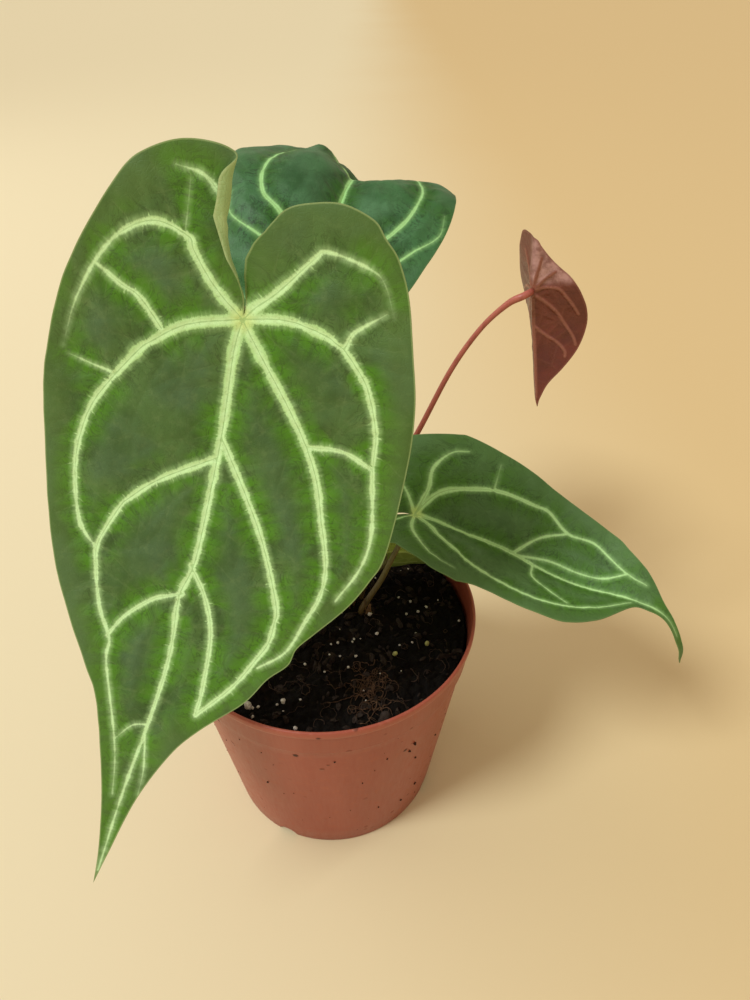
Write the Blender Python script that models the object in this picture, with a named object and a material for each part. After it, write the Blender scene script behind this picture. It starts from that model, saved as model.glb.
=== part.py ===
"""Potted velvet-leaf anthurium: a plastic nursery pot, its soil, a short crown and five leaves.

Blender 4.5, metres, +Z up. Sizes are written in millimetres and multiplied by MM where a mesh is
made. The plant is built round the pot's axis, and moved at the end so that the origin lies under
the middle of its box.
"""

import math
import random

import bpy
import numpy as np
from mathutils import Matrix, Vector
from mathutils.geometry import delaunay_2d_cdt

MM = 0.001
GAP = 0.3  # air between two pieces that touch on the real plant

# Pot: a regular cone of thin plastic with a collar and a rounded lip
POT_HEIGHT = 100.0
RIM_RADIUS = 60.0
LIP_INNER_RADIUS = 58.8
COLLAR_HEIGHT = 15.0
COLLAR_STEP = 0.9
WALL = 1.1
BASE_RADIUS = 46.0
FOOT_INNER_RADIUS = 39.0
FLOOR_RAISE = 2.4
FLOOR_THICKNESS = 1.4
POT_SIDES = 48
NOTCH_COUNT = 4
NOTCH_AZIMUTH = 246.0
NOTCH_WIDTH = 8.0
NOTCH_HEIGHT = 5.0
HOLE_RADIUS = 4.5
HOLE_RING = 20.0

# Soil: a filling with an uneven top, a little below the lip
SOIL_LEVEL = 92.0
SOIL_EDGE_DIP = 1.5
SOIL_ROUGHNESS = 1.1
SOIL_RINGS = 18
SOIL_SIDES = 50
SOIL_SEED = 7

# Crown: the short stem that all stalks grow round
CROWN_PLACE = (7.5, 9.5)
CROWN_RADIUS = 3.2
CROWN_BASE = 84.0
CROWN_TOP = 103.0
HOLE_FLOOR = CROWN_BASE - GAP

# Blades
BLADE = 0.8
RIB_DEPTH = 0.9
GROOVE_DEPTH = 0.35
QUILT_REACH = 9.0

# Each leaf: a spine in mm that starts one point behind the junction with the stalk, the side its
# upper face looks to, fold angles and curl per side, and flat outlines and veins in leaf mm: the
# first number runs along the midrib, the second across it. lap moves the edge of one lobe across
# the gap beside the junction, and each dent has a place, a reach and a height.
FRONT = {
    "name": "front",
    "spine": [(-7, -18, 261), (-16, -21, 232), (-24, -26, 201), (-35, -37, 167),
              (-45, -50, 138), (-57, -69, 104), (-73, -94, 68)],
    "face": (-0.19, -0.98, 0.1),
    "twist": (2, -2),
    "fold": ((2, 2, 0, 8), (2, 2, 0, 8)),
    "curl": ((0.0008, 0.0008, -0.0008, 0), (0.0008, 0.0008, -0.0008, 0)),
    "quilt": 1.0,
    "plus": [(-1.2, 0), (-6, 0.6), (-12, 1.6), (-20, 3), (-28, 4.2), (-35, 5), (-39, 9), (-40, 15),
             (-38, 24), (-33, 32), (-27, 37), (-10, 45), (5, 51), (18, 54), (34, 55), (54, 52), (73, 48),
             (86, 44), (99, 38), (121, 24), (129, 19), (145, 13), (162, 7), (178, 2.5), (190.6, 0)],
    "minus": [(-1.2, 0), (-3, -0.8), (-10, -1.5), (-17, -1.2), (-24, -1.6), (-31, -5), (-35, -12), (-37, -19),
              (-36, -27), (-33, -31), (-29, -36), (-20, -42), (-2, -49), (10, -52), (25, -54), (53, -56),
              (64, -54), (75, -50), (87, -43), (94, -39), (100, -38), (107, -33), (117, -28), (130, -17),
              (141, -10), (159, -4), (180, -1.2), (190.6, 0)],
    "roll": [(-41, 10.3), (-33, 10.8), (-24, 10.2), (-15, 6.9), (-6, 1.7), (-3, 0)],
    "roll_radius": 1.7,
    "lap": [(-28, 0), (-24, 0.8), (-20, 2.9), (-15.5, 4.4), (-11, 4.3), (-7, 2.4), (-3.5, 0.8), (-1.2, 0)],
    "veins": [
        ([(0, 0), (13, 1), (45, 0), (76, -1), (90, 1), (112, -1), (153, 1), (186, 0)], 3.6, 0.8),
        ([(0, 0), (-6, 9), (-13, 16), (-16, 18), (-17, 27), (-12, 35), (-4, 41), (9, 47), (22, 50)],
         3.2, 0.8),
        ([(-29, 12), (-32, 17), (-32, 24)], 1.8, 0.8),
        ([(-31, 20), (-17, 19)], 1.0, 0.8),
        ([(-2, 41), (1, 34), (2, 30), (4, 27), (9, 22)], 1.2, 1.8),
        ([(0, 0), (6, 15), (13, 24), (17, 28), (28, 35), (39, 40), (51, 42), (63, 41), (76, 37), (82, 31)],
         3.4, 1.4),
        ([(26, 34), (25, 42), (24, 48)], 1.2, 0.7),
        ([(42, 0), (54, 15), (63, 23), (68, 26), (81, 30), (88, 29), (95, 27), (102, 24), (110, 19),
          (118, 18), (145, 8), (160, 4)], 2.8, 0.8),
        ([(88, 0), (90, 4), (93, 9), (101, 16), (109, 20)], 1.6, 1.4),
        ([(134, 0), (136, 5), (142, 9)], 1.2, 0.8),
        ([(0, 0), (-9, -7), (-22, -15), (-25, -18), (-25, -29), (-23, -34), (-16, -39)], 3.0, 0.8),
        ([(0, 0), (-4, -12), (-4, -22), (-3, -26), (-1, -30), (5, -36), (10, -39), (20, -43), (31, -45),
          (49, -50), (61, -50), (74, -46)], 3.2, 0.8),
        ([(-2, -29), (-7, -30), (-10, -32), (-16, -37)], 1.8, 0.8),
        ([(0, 0), (32, -26), (51, -35), (64, -40), (74, -41), (84, -39), (96, -36), (104, -29)], 3.4, 1.0),
        ([(30, -25), (28, -35), (30, -44)], 1.6, 1.4),
        ([(36, 0), (44, -6), (52, -12), (64, -20), (82, -29), (88, -30), (95, -30), (101, -28), (113, -23),
          (126, -14)], 2.8, 1.8),
        ([(78, 0), (87, -7), (99, -12), (117, -14), (126, -14)], 2.0, 1.6),
        ([(138, 0), (149, -3), (158, -4)], 1.2, 0.7),
    ],
    "spacing": 5.5,
    "fill": 9.0,
    "ripple": 0.5,
}

RIGHT = {
    "name": "right",
    "spine": [(15, 18, 131), (35, 15, 135), (57, 11, 128), (76, 2, 123), (97, -10, 121), (114, -20, 123),
              (124, -25, 120), (130, -29, 110), (132, -30, 101)],
    "face": (0.09, -0.27, 0.96),
    "twist": (0, -2),
    "fold": ((26, 26, 22, 16), (26, 26, 22, 16)),
    "curl": ((-0.0005, -0.0005, 0.0003, -0.0003), (-0.0005, -0.0005, 0.0003, -0.0003)),
    "quilt": 0.8,
    "plus": [(-1.2, 0), (-8, 1.2), (-15, 2.5), (-21, 5), (-24, 10), (-22, 16), (-16, 20), (-10, 22),
             (-5, 23), (-3, 25), (4, 32), (9, 35), (20, 35), (40, 30), (60, 29), (72, 26), (81, 19),
             (89, 4.5), (95, 2.6), (101, 1.8), (110, 1.6), (118, 1.2), (122.8, 0)],
    "minus": [(-1.2, 0), (-4, -1.4), (-8, -2.4), (-15, -3), (-21, -6), (-24, -13), (-22.5, -22), (-15, -29),
              (-3, -32), (7, -36), (11, -37), (23, -36), (38, -33), (54, -29), (75, -23), (83, -18),
              (92, -10.5), (98, -4), (104, -2), (112, -1.6), (118, -1.2), (122.8, 0)],
    "veins": [
        ([(0, 0), (20, 1), (39, -1), (60, 1), (80, 0), (93, 0), (110, 0)], 2.8, 0.7),
        ([(0, 0), (2, -7), (3, -12), (3, -20), (7, -28), (12, -31)], 2.4, 0.7),
        ([(0, 0), (7, -11), (17, -17), (28, -21), (40, -22), (47, -22), (57, -17), (69, -17), (84, -9),
          (91, -7)], 2.8, 0.8),
        ([(25, -20), (24, -31)], 1.0, 0.6),
        ([(41, -1), (48, -11), (57, -17)], 1.8, 1.2),
        ([(43, -1), (55, -4), (66, -4), (76, -5), (84, -9)], 1.4, 1.0),
        ([(0, 0), (6, 6), (11, 12), (22, 18), (29, 20), (42, 21), (55, 21), (66, 18), (79, 11), (88, 2)],
         2.8, 0.8),
        ([(50, 1), (52, 8), (60, 12), (68, 15)], 1.4, 1.0),
        ([(0, 0), (0, 11), (5, 23), (10, 27), (18, 28)], 2.0, 0.7),
        ([(0, 0), (-8, 6), (-14, 11), (-15, 16), (-9, 19)], 1.6, 0.7),
        ([(0, 0), (-6, -13), (-14, -15), (-18, -19), (-15, -24)], 1.6, 0.7),
    ],
    "spacing": 5.2,
    "fill": 7.5,
    "ripple": 0.4,
}

BACK = {
    "name": "back",
    "spine": [(-6, 38, 200), (0, 52, 219), (6, 69, 232), (11, 92, 239), (16, 122, 226), (20, 148, 197),
              (23, 166, 155)],
    "face": (0.03, 0.05, 1.0),
    "twist": (0, 0),
    "fold": ((-8, -6, 8, 6), (20, 40, 38, 15)),
    "curl": ((-0.004, -0.003, -0.012, -0.006), (-0.008, -0.020, -0.020, -0.006)),
    "quilt": 1.6,
    "dents": [(49, -36, 13, -4.5), (58, -17, 6, 3), (62, -3, 7, -4), (56, 8, 8, -3.5), (57, 26, 9, 1.5)],
    "plus": [(-1.2, 0), (-8, 0.8), (-16, 1.6), (-23, 4), (-26, 9), (-26.5, 15), (-23, 21.5), (-16, 27),
             (-6, 31.8), (6, 35.8), (18, 38.8), (30, 40.8), (42, 41), (54, 39.2), (66, 36.5), (80, 33),
             (93, 29.5), (107, 26), (120, 21), (134, 15), (147, 9), (158, 4), (167, 0)],
    "minus": [(-1.2, 0), (-8, -0.8), (-16, -1.8), (-23, -4.5), (-26, -10), (-27, -17), (-23, -25), (-16, -31),
              (-6, -37), (8, -42), (22, -45.5), (36, -47), (50, -46.5), (64, -43), (78, -38), (92, -33),
              (106, -28), (120, -22), (134, -16), (147, -10), (158, -4.5), (167, 0)],
    "veins": [
        ([(0, 0), (22, -0.8), (45, 0), (60, -0.5), (90, 0.5), (120, 0), (160, 0)], 3.2, 0.8),
        ([(0, 0), (7, 11), (14, 18), (18, 21), (26, 25), (33, 27), (42, 28), (50, 26), (60, 22)], 2.8, 1.0),
        ([(0, 0), (1, 12), (6, 24), (14, 31), (16, 33), (23, 38), (32, 38)], 2.4, 0.7),
        ([(0, 0), (-10, 8), (-18, 12), (-21, 17), (-15, 23)], 2.0, 0.7),
        ([(46, 0), (56, 9), (68, 17), (84, 22), (98, 20), (112, 16)], 2.4, 1.0),
        ([(76, 0), (88, 9), (102, 14), (116, 14), (130, 9)], 1.8, 0.8),
        ([(0, 0), (5, -8), (10, -15), (15, -22), (19, -28), (27, -31), (37, -31), (48, -28), (60, -24)],
         2.8, 1.0),
        ([(0, 0), (-3, -10), (0, -18), (3, -22), (9, -37), (18, -40)], 2.4, 0.7),
        ([(0, 0), (-10, -9), (-18, -13), (-21, -18), (-15, -26)], 2.0, 0.7),
        ([(46, 0), (56, -11), (68, -20), (84, -26), (98, -23), (112, -18)], 2.4, 1.0),
        ([(76, 0), (88, -10), (102, -16), (116, -16), (130, -10)], 1.8, 0.8),
    ],
    "spacing": 6.5,
    "fill": 9.5,
    "ripple": 0.5,
}

NEW = {
    "name": "new",
    "spine": [(74, 45, 232), (76, 46, 213), (78, 46, 199), (80, 43, 185), (82, 38, 170)],
    "face": (0.75, 0.66, 0.1),
    "twist": (0, 0),
    "fold": ((40, 34, 36, 30), (20, 30, 50, 40)),
    "curl": ((0.004, 0.004, 0.006, 0), (0.004, 0.004, 0.006, 0)),
    "quilt": 0.4,
    "plus": [(-18.8, 0), (-18.2, 1.2), (-16, 2.4), (-13, 4.6), (-10.5, 6.8), (-8, 9.4), (-5.5, 12.2),
             (-2.5, 14.6), (1.5, 16.8), (8, 18.9), (15, 18.9), (23, 16), (30, 10.5), (36, 4.5), (41, 1.5),
             (44.6, 0)],
    "minus": [(-18.8, 0), (-19.6, -4), (-19.2, -8.4), (-15, -10), (-9, -11.5), (-3, -13), (6, -13.5),
              (14, -11), (22, -7.5), (30, -4), (37, -2), (44.6, 0)],
    "veins": [
        ([(0, 0), (22, 0.3), (41, 0)], 1.4, 0.5),
        ([(0, 0), (-4, 3.6), (-7, 7.5)], 0.9, 0.4),
        ([(0, 0), (-6, 1.2), (-12, 2.4)], 1.0, 0.4),
        ([(0, 0), (-1, 2.5), (-1.2, 6), (-0.6, 9), (2.3, 11.5), (6, 14), (10, 16)], 1.2, 0.4),
        ([(1, 0), (4, 4), (8, 8), (13, 11), (18.5, 14), (22, 15)], 1.1, 0.4),
        ([(13, 0), (17, 4), (20.5, 8.5), (24, 11), (26, 11)], 0.9, 0.4),
        ([(0, 0), (-7, -3), (-13, -6)], 1.0, 0.4),
        ([(0, 0), (0, -5), (3, -9), (9, -10.5)], 1.0, 0.4),
        ([(1, 0), (10, -5), (18, -7)], 0.9, 0.4),
    ],
    "spacing": 3.6,
    "fill": 5.5,
    "ripple": 0.2,
}

LOW = {
    "name": "low",
    "spine": [(13, 18, 113), (23, 19, 112), (36, 21, 110), (48, 23, 107), (58, 26, 105)],
    "face": (0.0, 0.96, 0.28),
    "twist": (0, 0),
    "fold": ((6, 6, 10, 6), (6, 6, 10, 6)),
    "curl": ((0.002, 0.002, 0.004, 0), (0.002, 0.002, 0.004, 0)),
    "quilt": 0.4,
    "plus": [(-1, 0), (-7, 1.2), (-9, 5), (-9, 10), (-5, 14), (1, 16.5), (9, 17.5), (17, 16), (24, 12.5),
             (30, 8), (34, 3.5), (36.4, 0)],
    "minus": [(-1, 0), (-7, -1.2), (-9, -5), (-9, -10), (-5, -14), (1, -16.5), (9, -17.5), (17, -15.5),
              (24, -11.5), (30, -7), (34, -3), (36.4, 0)],
    "veins": [
        ([(0, 0), (18, 0.3), (33, 0)], 1.4, 0.5),
        ([(0, 0), (2, 7), (9, 12), (18, 11)], 1.1, 0.5),
        ([(0, 0), (-5, 5), (-7, 9)], 0.9, 0.5),
        ([(10, 0), (20, 6), (27, 5)], 0.9, 0.5),
        ([(0, 0), (2, -7), (9, -12), (18, -11)], 1.1, 0.5),
        ([(0, 0), (-5, -5), (-7, -9)], 0.9, 0.5),
        ([(10, 0), (20, -6), (26, -5)], 0.9, 0.5),
    ],
    "spacing": 4.5,
    "fill": 6.5,
    "ripple": 0.2,
}

# Each stalk: its way from the soil to just under its blade's junction, and its radii from base to top
STALKS = {
    "front": ([(2.5, 5, 84), (2.5, 5, 90), (2.5, 5.2, 97), (1, 8, 130), (-3, 8, 172), (-10, -2, 212)],
              (2.1, 1.5, 1.3, 1.8)),
    "right": ([(14, 4, 84), (14, 4, 89), (14.3, 4.2, 94), (22, 8.4, 106), (28, 12, 119)],
              (1.6, 1.2, 1.1, 1.5)),
    "back": ([(3.5, 16, 84), (3.5, 16, 90), (3.5, 16.2, 97), (3, 24, 135), (2, 40, 178), (1, 55, 205)],
             (2.0, 1.5, 1.3, 1.7)),
    "new": ([(7, 21.5, 84), (7, 21.5, 90), (7.2, 21.8, 97), (14, 31, 115), (26, 39, 135), (37, 45, 154),
             (48.6, 46.3, 181), (58.5, 46.5, 198), (67, 44.5, 208.5)], (1.8, 1.2, 1.0, 1.2)),
    "low": ([(13.5, 11.5, 84), (13.5, 11.5, 89), (13.7, 11.6, 94), (18, 12.5, 104)], (1.4, 1.0, 0.9, 1.1)),
}
STALK_SIDES = 10

# Colours (linear RGB) and roughness
COLOURS = {
    "pot": ((0.335, 0.085, 0.048), 0.5),
    "soil": ((0.012, 0.009, 0.006), 0.95),
    "crown": ((0.16, 0.10, 0.04), 0.7),
    "front_blade": ((0.075, 0.155, 0.035), 0.55),
    "right_blade": ((0.035, 0.13, 0.045), 0.5),
    "back_blade": ((0.025, 0.12, 0.065), 0.5),
    "new_blade": ((0.16, 0.035, 0.022), 0.4),
    "low_blade": ((0.06, 0.12, 0.03), 0.55),
    "front_stalk": ((0.17, 0.20, 0.06), 0.5),
    "right_stalk": ((0.17, 0.12, 0.04), 0.5),
    "back_stalk": ((0.12, 0.16, 0.05), 0.5),
    "new_stalk": ((0.32, 0.06, 0.03), 0.45),
    "low_stalk": ((0.14, 0.13, 0.05), 0.5),
}


def clear_scene():
    for obj in list(bpy.data.objects):
        bpy.data.objects.remove(obj, do_unlink=True)


def material_for(name):
    colour, roughness = COLOURS[name]
    material = bpy.data.materials.new(name)
    material.use_nodes = True
    shader = material.node_tree.nodes["Principled BSDF"]
    shader.inputs["Base Color"].default_value = (*colour, 1.0)
    shader.inputs["Roughness"].default_value = roughness
    shader.inputs["Metallic"].default_value = 0.0
    material.diffuse_color = (*colour, 1.0)
    return material


def mesh_object(name, points_mm, faces):
    """A named object with its own material, from points in millimetres."""
    mesh = bpy.data.meshes.new(name)
    mesh.from_pydata([tuple(float(c) * MM for c in p) for p in points_mm], [], [tuple(f) for f in faces])
    mesh.update()
    obj = bpy.data.objects.new(name, mesh)
    bpy.context.scene.collection.objects.link(obj)
    if name in COLOURS:
        mesh.materials.append(material_for(name))
    return obj


def smooth_line(points, steps=8):
    """A curve through the points that turns evenly at each one."""
    points = np.asarray(points, float)
    ends = np.vstack([2 * points[0] - points[1], points, 2 * points[-1] - points[-2]])
    out = []
    for k in range(1, len(ends) - 2):
        t = np.linspace(0, 1, steps, endpoint=False)[:, None]
        p0, p1, p2, p3 = ends[k - 1], ends[k], ends[k + 1], ends[k + 2]
        out.append(0.5 * (2 * p1 + (p2 - p0) * t + (2 * p0 - 5 * p1 + 4 * p2 - p3) * t ** 2
                          + (3 * p1 - p0 - 3 * p2 + p3) * t ** 3))
    out.append(ends[-2][None])
    return np.vstack(out)


def even_line(line, spacing):
    """The same line with points at even distances, both ends kept."""
    run = np.concatenate([[0], np.cumsum(np.linalg.norm(np.diff(line, axis=0), axis=1))])
    count = max(2, int(round(run[-1] / spacing)) + 1)
    at = np.linspace(0, run[-1], count)
    return np.stack([np.interp(at, run, line[:, k]) for k in range(line.shape[1])], -1)


def cylinder(name, centre, radius, low, high, sides):
    ring = [(centre[0] + radius * math.cos(2 * math.pi * k / sides),
             centre[1] + radius * math.sin(2 * math.pi * k / sides)) for k in range(sides)]
    points = [(x, y, low) for x, y in ring] + [(x, y, high) for x, y in ring]
    faces = [tuple(reversed(range(sides))), tuple(range(sides, 2 * sides))]
    faces += [(k, (k + 1) % sides, sides + (k + 1) % sides, sides + k) for k in range(sides)]
    return mesh_object(name, points, faces)


def cut_away(obj, cutters):
    for cutter in cutters:
        modifier = obj.modifiers.new("cut " + cutter.name, "BOOLEAN")
        modifier.operation = "DIFFERENCE"
        modifier.solver = "EXACT"
        modifier.object = cutter
        cutter.hide_render = True
        cutter.display_type = "WIRE"


def wall_radius(height):
    """The pot's outer radius below the collar."""
    collar_low = POT_HEIGHT - COLLAR_HEIGHT
    top = RIM_RADIUS - 1.9 - COLLAR_STEP
    return BASE_RADIUS + (top - BASE_RADIUS) * height / collar_low


def make_pot():
    collar_low = POT_HEIGHT - COLLAR_HEIGHT
    step = wall_radius(collar_low)
    floor_top = FLOOR_RAISE + FLOOR_THICKNESS
    profile = [
        (FOOT_INNER_RADIUS, 0.0), (BASE_RADIUS - 0.8, 0.0), (wall_radius(0.8), 0.8),
        (wall_radius(30), 30), (wall_radius(60), 60), (step, collar_low - 0.4),
        (step + COLLAR_STEP, collar_low + 0.4), (RIM_RADIUS - 1.0, POT_HEIGHT - 4.2),
        (RIM_RADIUS - 0.15, POT_HEIGHT - 3.0), (RIM_RADIUS, POT_HEIGHT - 1.0),
        (RIM_RADIUS - 0.3, POT_HEIGHT - 0.2), (RIM_RADIUS - 0.7, POT_HEIGHT),
        (LIP_INNER_RADIUS + 0.1, POT_HEIGHT - 0.3), (LIP_INNER_RADIUS - 0.2, POT_HEIGHT - 1.4),
        (step + COLLAR_STEP - WALL, collar_low + 1.4), (step - WALL, collar_low - 0.4),
        (wall_radius(60) - WALL, 60), (wall_radius(30) - WALL, 30),
        (wall_radius(floor_top) - WALL, floor_top), (FOOT_INNER_RADIUS - 0.8, FLOOR_RAISE),
    ]
    points, faces = [], []
    for r, z in profile:
        for k in range(POT_SIDES):
            angle = 2 * math.pi * (k + 0.5) / POT_SIDES
            points.append((r * math.cos(angle), r * math.sin(angle), z))
    count = len(profile)
    for j in range(count - 1):
        for k in range(POT_SIDES):
            nxt = (k + 1) % POT_SIDES
            low, high = j * POT_SIDES, (j + 1) * POT_SIDES
            faces.append((low + k, low + nxt, high + nxt, high + k))
    foot = (count - 1) * POT_SIDES
    for k in range(POT_SIDES):
        nxt = (k + 1) % POT_SIDES
        faces.append((foot + k, foot + nxt, nxt, k))
    # The upper face of the floor is closed by its last ring, the lower face by the foot's inner ring
    above = (count - 2) * POT_SIDES
    faces = [f for f in faces if not (min(f) >= above and max(f) < above + 2 * POT_SIDES)]
    faces.append(tuple(range(above, above + POT_SIDES)))
    faces.append(tuple(range(above + POT_SIDES, above + 2 * POT_SIDES)))
    pot = mesh_object("pot", points, faces)
    tidy_normals(pot)
    cutters = [cylinder("centre_drain", (0, 0), HOLE_RADIUS, 0.5, 8, 16)]
    for k in range(NOTCH_COUNT):
        turn = math.radians(NOTCH_AZIMUTH + k * 360 / NOTCH_COUNT)
        cutters.append(notch_cutter(f"edge_drain_{k}", turn))
        side = turn + math.radians(45)
        centre = (HOLE_RING * math.cos(side), HOLE_RING * math.sin(side))
        cutters.append(cylinder(f"floor_drain_{k}", centre, HOLE_RADIUS, 0.5, 8, 14))
    cut_away(pot, cutters)
    return pot


def notch_cutter(name, turn):
    """An arch through the foot and the foot of the wall."""
    half = NOTCH_WIDTH / 2
    arch = [(-half, -1.0), (half, -1.0), (half, NOTCH_HEIGHT - 2.4), (half - 1.4, NOTCH_HEIGHT - 0.6),
            (0, NOTCH_HEIGHT), (1.4 - half, NOTCH_HEIGHT - 0.6), (-half, NOTCH_HEIGHT - 2.4)]
    points = []
    for radius in (BASE_RADIUS - 4.0, BASE_RADIUS + 4.0):
        for side, height in arch:
            points.append((radius * math.cos(turn) - side * math.sin(turn),
                           radius * math.sin(turn) + side * math.cos(turn), height))
    count = len(arch)
    faces = [tuple(reversed(range(count))), tuple(range(count, 2 * count))]
    faces += [(k, (k + 1) % count, count + (k + 1) % count, count + k) for k in range(count)]
    cutter = mesh_object(name, points, faces)
    tidy_normals(cutter)
    return cutter


def tidy_normals(obj):
    """Turns every face outward, in edit mode as by hand."""
    bpy.ops.object.select_all(action="DESELECT")
    obj.select_set(True)
    bpy.context.view_layer.objects.active = obj
    bpy.ops.object.mode_set(mode="EDIT")
    bpy.ops.mesh.select_all(action="SELECT")
    bpy.ops.mesh.normals_make_consistent(inside=False)
    bpy.ops.object.mode_set(mode="OBJECT")


def inner_radius(height):
    collar_low = POT_HEIGHT - COLLAR_HEIGHT
    if height <= collar_low - 0.4:
        return wall_radius(height) - WALL
    step = wall_radius(collar_low) - WALL
    return step + min(1.0, (height - collar_low + 0.4) / 1.8) * COLLAR_STEP * 0.9


def make_soil():
    """The filling: a turned plug whose top rises in clods, bark chips and perlite grains."""
    draw = random.Random(SOIL_SEED)
    lumps = []
    for _ in range(90):
        radius = 54 * math.sqrt(draw.random())
        angle = draw.uniform(0, 2 * math.pi)
        lumps.append((radius * math.cos(angle), radius * math.sin(angle), draw.uniform(2.2, 5.0),
                      draw.uniform(-1.0, 2.0)))

    def top(x, y):
        radius = math.hypot(x, y)
        height = SOIL_LEVEL - SOIL_EDGE_DIP * (radius / 56) ** 4
        for cx, cy, reach, lift in lumps:
            height += SOIL_ROUGHNESS * lift * math.exp(-((x - cx) ** 2 + (y - cy) ** 2) / reach ** 2)
        return height

    floor = FLOOR_RAISE + FLOOR_THICKNESS + GAP
    edge = SOIL_LEVEL - SOIL_EDGE_DIP - 0.8
    points, faces = [(0, 0, top(0, 0))], []
    for ring in range(1, SOIL_RINGS + 1):
        for k in range(SOIL_SIDES):
            angle = 2 * math.pi * (k + 0.5 * (ring % 2)) / SOIL_SIDES
            radius = (inner_radius(edge) - GAP) * ring / SOIL_RINGS
            x, y = radius * math.cos(angle), radius * math.sin(angle)
            height = edge if ring == SOIL_RINGS else top(x, y)
            points.append((x, y, height))
    for k in range(SOIL_SIDES):
        faces.append((0, 1 + k, 1 + (k + 1) % SOIL_SIDES))
    for ring in range(SOIL_RINGS - 1):
        low, high = 1 + ring * SOIL_SIDES, 1 + (ring + 1) * SOIL_SIDES
        for k in range(SOIL_SIDES):
            nxt = (k + 1) % SOIL_SIDES
            if ring % 2:
                faces += [(low + k, high + k, high + nxt), (low + k, high + nxt, low + nxt)]
            else:
                faces += [(low + k, high + k, low + nxt), (low + nxt, high + k, high + nxt)]
    last = 1 + (SOIL_RINGS - 1) * SOIL_SIDES
    heights = [POT_HEIGHT - COLLAR_HEIGHT - 0.6, 45, floor]
    shift = 0.5 * (SOIL_RINGS % 2)
    for height in heights:
        base = len(points)
        radius = min(inner_radius(height), wall_radius(height) - WALL) - GAP
        for k in range(SOIL_SIDES):
            angle = 2 * math.pi * (k + shift) / SOIL_SIDES
            points.append((radius * math.cos(angle), radius * math.sin(angle), height))
        for k in range(SOIL_SIDES):
            nxt = (k + 1) % SOIL_SIDES
            faces.append((last + k, base + k, base + nxt, last + nxt))
        last = base
    faces.append(tuple(reversed(range(last, last + SOIL_SIDES))))
    soil = mesh_object("soil", points, faces)
    tidy_normals(soil)
    cutters = [cylinder("crown_hole", CROWN_PLACE, CROWN_RADIUS + GAP, HOLE_FLOOR, 110, 16)]
    for name, (way, radii) in STALKS.items():
        cutters.append(cylinder(name + "_hole", way[0][:2], radii[0] + 0.5, HOLE_FLOOR, 110, 14))
    cut_away(soil, cutters)
    return soil


def make_crown():
    """The short stem, ringed by old leaf scars, with a blunt top."""
    x, y = CROWN_PLACE
    rings = [(CROWN_BASE, 0.85), (88, 1.0), (91.5, 0.94), (92.5, 1.0), (95, 0.86), (96, 0.92), (98.5, 0.72),
             (101, 0.5), (CROWN_TOP, 0.16)]
    points, faces = [], []
    sides = 14
    for height, share in rings:
        for k in range(sides):
            angle = 2 * math.pi * k / sides
            radius = CROWN_RADIUS * share
            points.append((x + radius * math.cos(angle), y + radius * math.sin(angle), height))
    for j in range(len(rings) - 1):
        for k in range(sides):
            nxt = (k + 1) % sides
            faces.append((j * sides + k, j * sides + nxt, (j + 1) * sides + nxt, (j + 1) * sides + k))
    faces.append(tuple(reversed(range(sides))))
    top = (len(rings) - 1) * sides
    faces.append(tuple(range(top, top + sides)))
    return mesh_object("crown", points, faces)


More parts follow.
